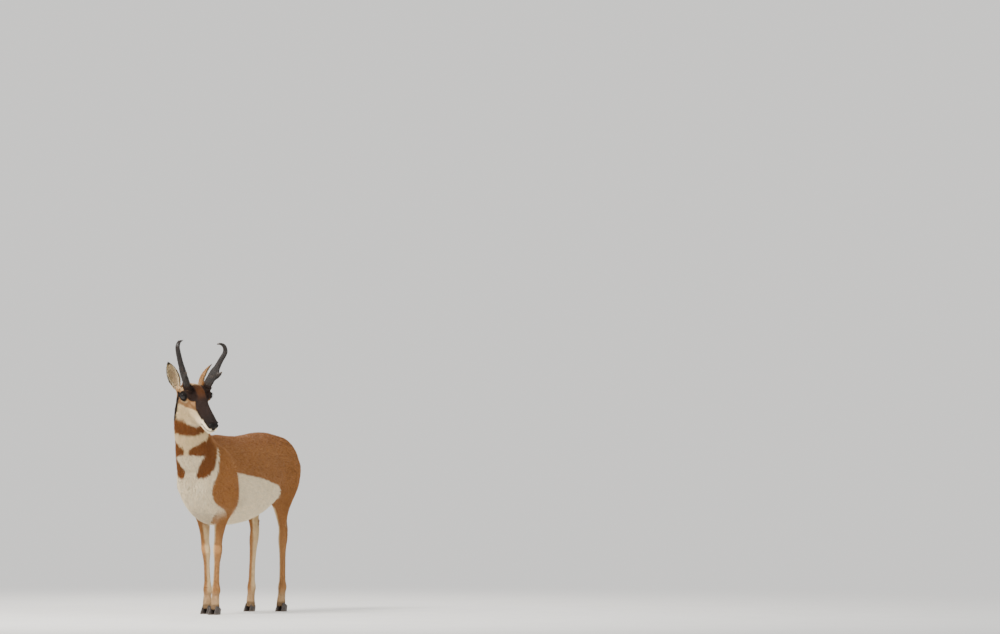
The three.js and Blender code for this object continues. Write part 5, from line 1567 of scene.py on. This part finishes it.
eye_mat, nt, bs, out = material("eye_wet")
marks = node(nt, "ShaderNodeAttribute", attribute_name="Marks").outputs["Color"]
co = node(nt, "ShaderNodeTexCoord").outputs["Object"]
nn_ = node(nt, "ShaderNodeTexNoise", {"Vector": co, "Scale": 420.0, "Detail": 3.0}).outputs[0]
nt.links.new(scaled(nt, marks, mapped(nt, nn_, 0.3, 0.7, 0.8, 1.2)), bs.inputs["Base Color"])
nt.links.new(mapped(nt, nn_, 0.3, 0.7, 0.03, 0.07), bs.inputs["Roughness"])
bs.inputs["Coat Weight"].default_value = 0.35
bs.inputs["Coat Roughness"].default_value = 0.02
bs.inputs["IOR"].default_value = 1.36
bs.inputs["Specular IOR Level"].default_value = 0.32

for ob in COATS:
    ob.data.materials.append(coat_mat)
skin.data.materials.append(skin_mat)
for ob in [HORNS[s][3] for s in "LR"]:
    ob.data.materials.append(horn_mat)
for ob in HOOVES.values():
    ob.data.materials.append(hoof_mat)
for ob in EYE_OBJECTS.values():
    ob.data.materials.append(eye_mat)

# ------------------------------------------------------------------ what each piece stands for
FLESH = ["head", "neck", "trunk", "tail", "foreleg_L", "foreleg_R", "hindleg_L", "hindleg_R", "ear_L", "ear_R"]
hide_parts(*FLESH)
for ob in [skin] + COATS:
    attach(ob, "root")
for s in "LR":
    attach(HORNS[s][3], "root")
    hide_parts("horn_" + s)
    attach(EYE_OBJECTS[s], "root")
    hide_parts("eye_" + s)
for label, ob in HOOVES.items():
    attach(ob, "root")
    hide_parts(label)

# ------------------------------------------------------------------ floor, light and camera
PAPER = (0.80, 0.79, 0.77)
rings, segs = [0.0, 1, 2, 3, 4, 5, 6, 8, 11, 16, 24, 40, 80, 160], 64
fv = [(0.0, 0.0, 0.0)] + [(r * math.cos(2 * math.pi * i / segs), r * math.sin(2 * math.pi * i / segs), 0.0) for r in rings[1:] for i in range(segs)]
fq = [(1 + (j - 1) * segs + i, 1 + j * segs + i, 1 + j * segs + (i + 1) % segs, 1 + (j - 1) * segs + (i + 1) % segs) for j in range(1, len(rings) - 1) for i in range(segs)]
ft = [(0, 1 + i, 1 + (i + 1) % segs) for i in range(segs)]
floor = make_mesh("floor", np.array(fv), [np.array(fq), np.array(ft)])
m, nt, bs, out = material("studio_floor")
co = node(nt, "ShaderNodeTexCoord").outputs["Object"]
fn_ = node(nt, "ShaderNodeTexNoise", {"Vector": co, "Scale": 3.0, "Detail": 5.0}).outputs[0]
base = node(nt, "ShaderNodeRGB")
base.outputs[0].default_value = (*PAPER, 1)
nt.links.new(scaled(nt, base.outputs[0], mapped(nt, fn_, 0.3, 0.7, 0.97, 1.02)), bs.inputs["Base Color"])
bs.inputs["Roughness"].default_value = 0.85
bs.inputs["Specular IOR Level"].default_value = 0.1
far = node(nt, "ShaderNodeVectorMath", {0: co}, operation="LENGTH").outputs["Value"]
em = node(nt, "ShaderNodeEmission", {"Color": (*PAPER, 1), "Strength": 1.25})
mixer = node(nt, "ShaderNodeMixShader", {0: node(nt, "ShaderNodeMapRange", {"Value": far, "From Min": 1.6, "From Max": 6.0, "To Min": 0.0, "To Max": 1.0}, interpolation_type="SMOOTHSTEP").outputs[0], 1: bs.outputs[0], 2: em.outputs[0]})
nt.links.new(mixer.outputs[0], out.inputs[0])
floor.data.materials.append(m)
floor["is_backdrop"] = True

world = bpy.data.worlds.new("studio")
bpy.context.scene.world = world
world.use_nodes = True
bg = world.node_tree.nodes["Background"]
bg.inputs[0].default_value = (*PAPER, 1)
bg.inputs[1].default_value = 1.25


def area_light(name, azimuth, elevation, distance, size, watts, colour):
    a, e = math.radians(azimuth), math.radians(elevation)
    ld = bpy.data.lights.new(name, "AREA")
    ld.shape = "DISK"
    ld.size = size
    ld.energy = watts
    ld.color = colour
    o = bpy.data.objects.new(name, ld)
    d = np.array([math.sin(a) * math.cos(e), -math.cos(a) * math.cos(e), math.sin(e)])
    o.location = d * distance + np.array([0, 0, 0.7])
    o.rotation_mode = "QUATERNION"
    from mathutils import Vector
    o.rotation_quaternion = Vector(d.tolist()).to_track_quat("Z", "Y")
    bpy.context.scene.collection.objects.link(o)


area_light("key", -16, 46, 5.0, 2.0, 380, (1.0, 0.97, 0.92))
area_light("fill", 82, 24, 6.0, 3.0, 70, (0.92, 0.96, 1.0))
area_light("back", 205, 40, 5.5, 2.5, 120, (1.0, 0.98, 0.95))

AZ, EL, DISTANCE, PX_PER_M = math.radians(27), math.radians(0.5), 40.0, 212.0
FOCAL_PX = PX_PER_M * DISTANCE
back_ = np.array([math.sin(AZ) * math.cos(EL), -math.cos(AZ) * math.cos(EL), math.sin(EL)])
middle = to_model(np.array([0.0, 0.0, 750.0]))
# where the middle of the animal stands in the picture, from its centre, right and up
AT_X, AT_Y = 234.0 - 500.0, 317.0 - (613.0 - 0.75 * PX_PER_M)
cd = bpy.data.cameras.new("camera")
cam = bpy.data.objects.new("camera", cd)
bpy.context.scene.collection.objects.link(cam)
cd.sensor_width = 36.0
cd.lens = FOCAL_PX * 36.0 / 1000.0
cd.dof.use_dof = False
cam.location = middle + back_ * DISTANCE
cam.rotation_mode = "XYZ"
cam.rotation_euler = (
    math.pi / 2 - EL - math.atan2(AT_Y, math.hypot(FOCAL_PX, AT_X)),
    0.0,
    AZ + math.atan2(AT_X, FOCAL_PX),
)
cd.clip_start, cd.clip_end = 0.5, 400.0
bpy.context.scene.camera = cam

VISUAL_BOX = [list(map(float, c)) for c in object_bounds()]
say("boxes", CAD_BOX, VISUAL_BOX)
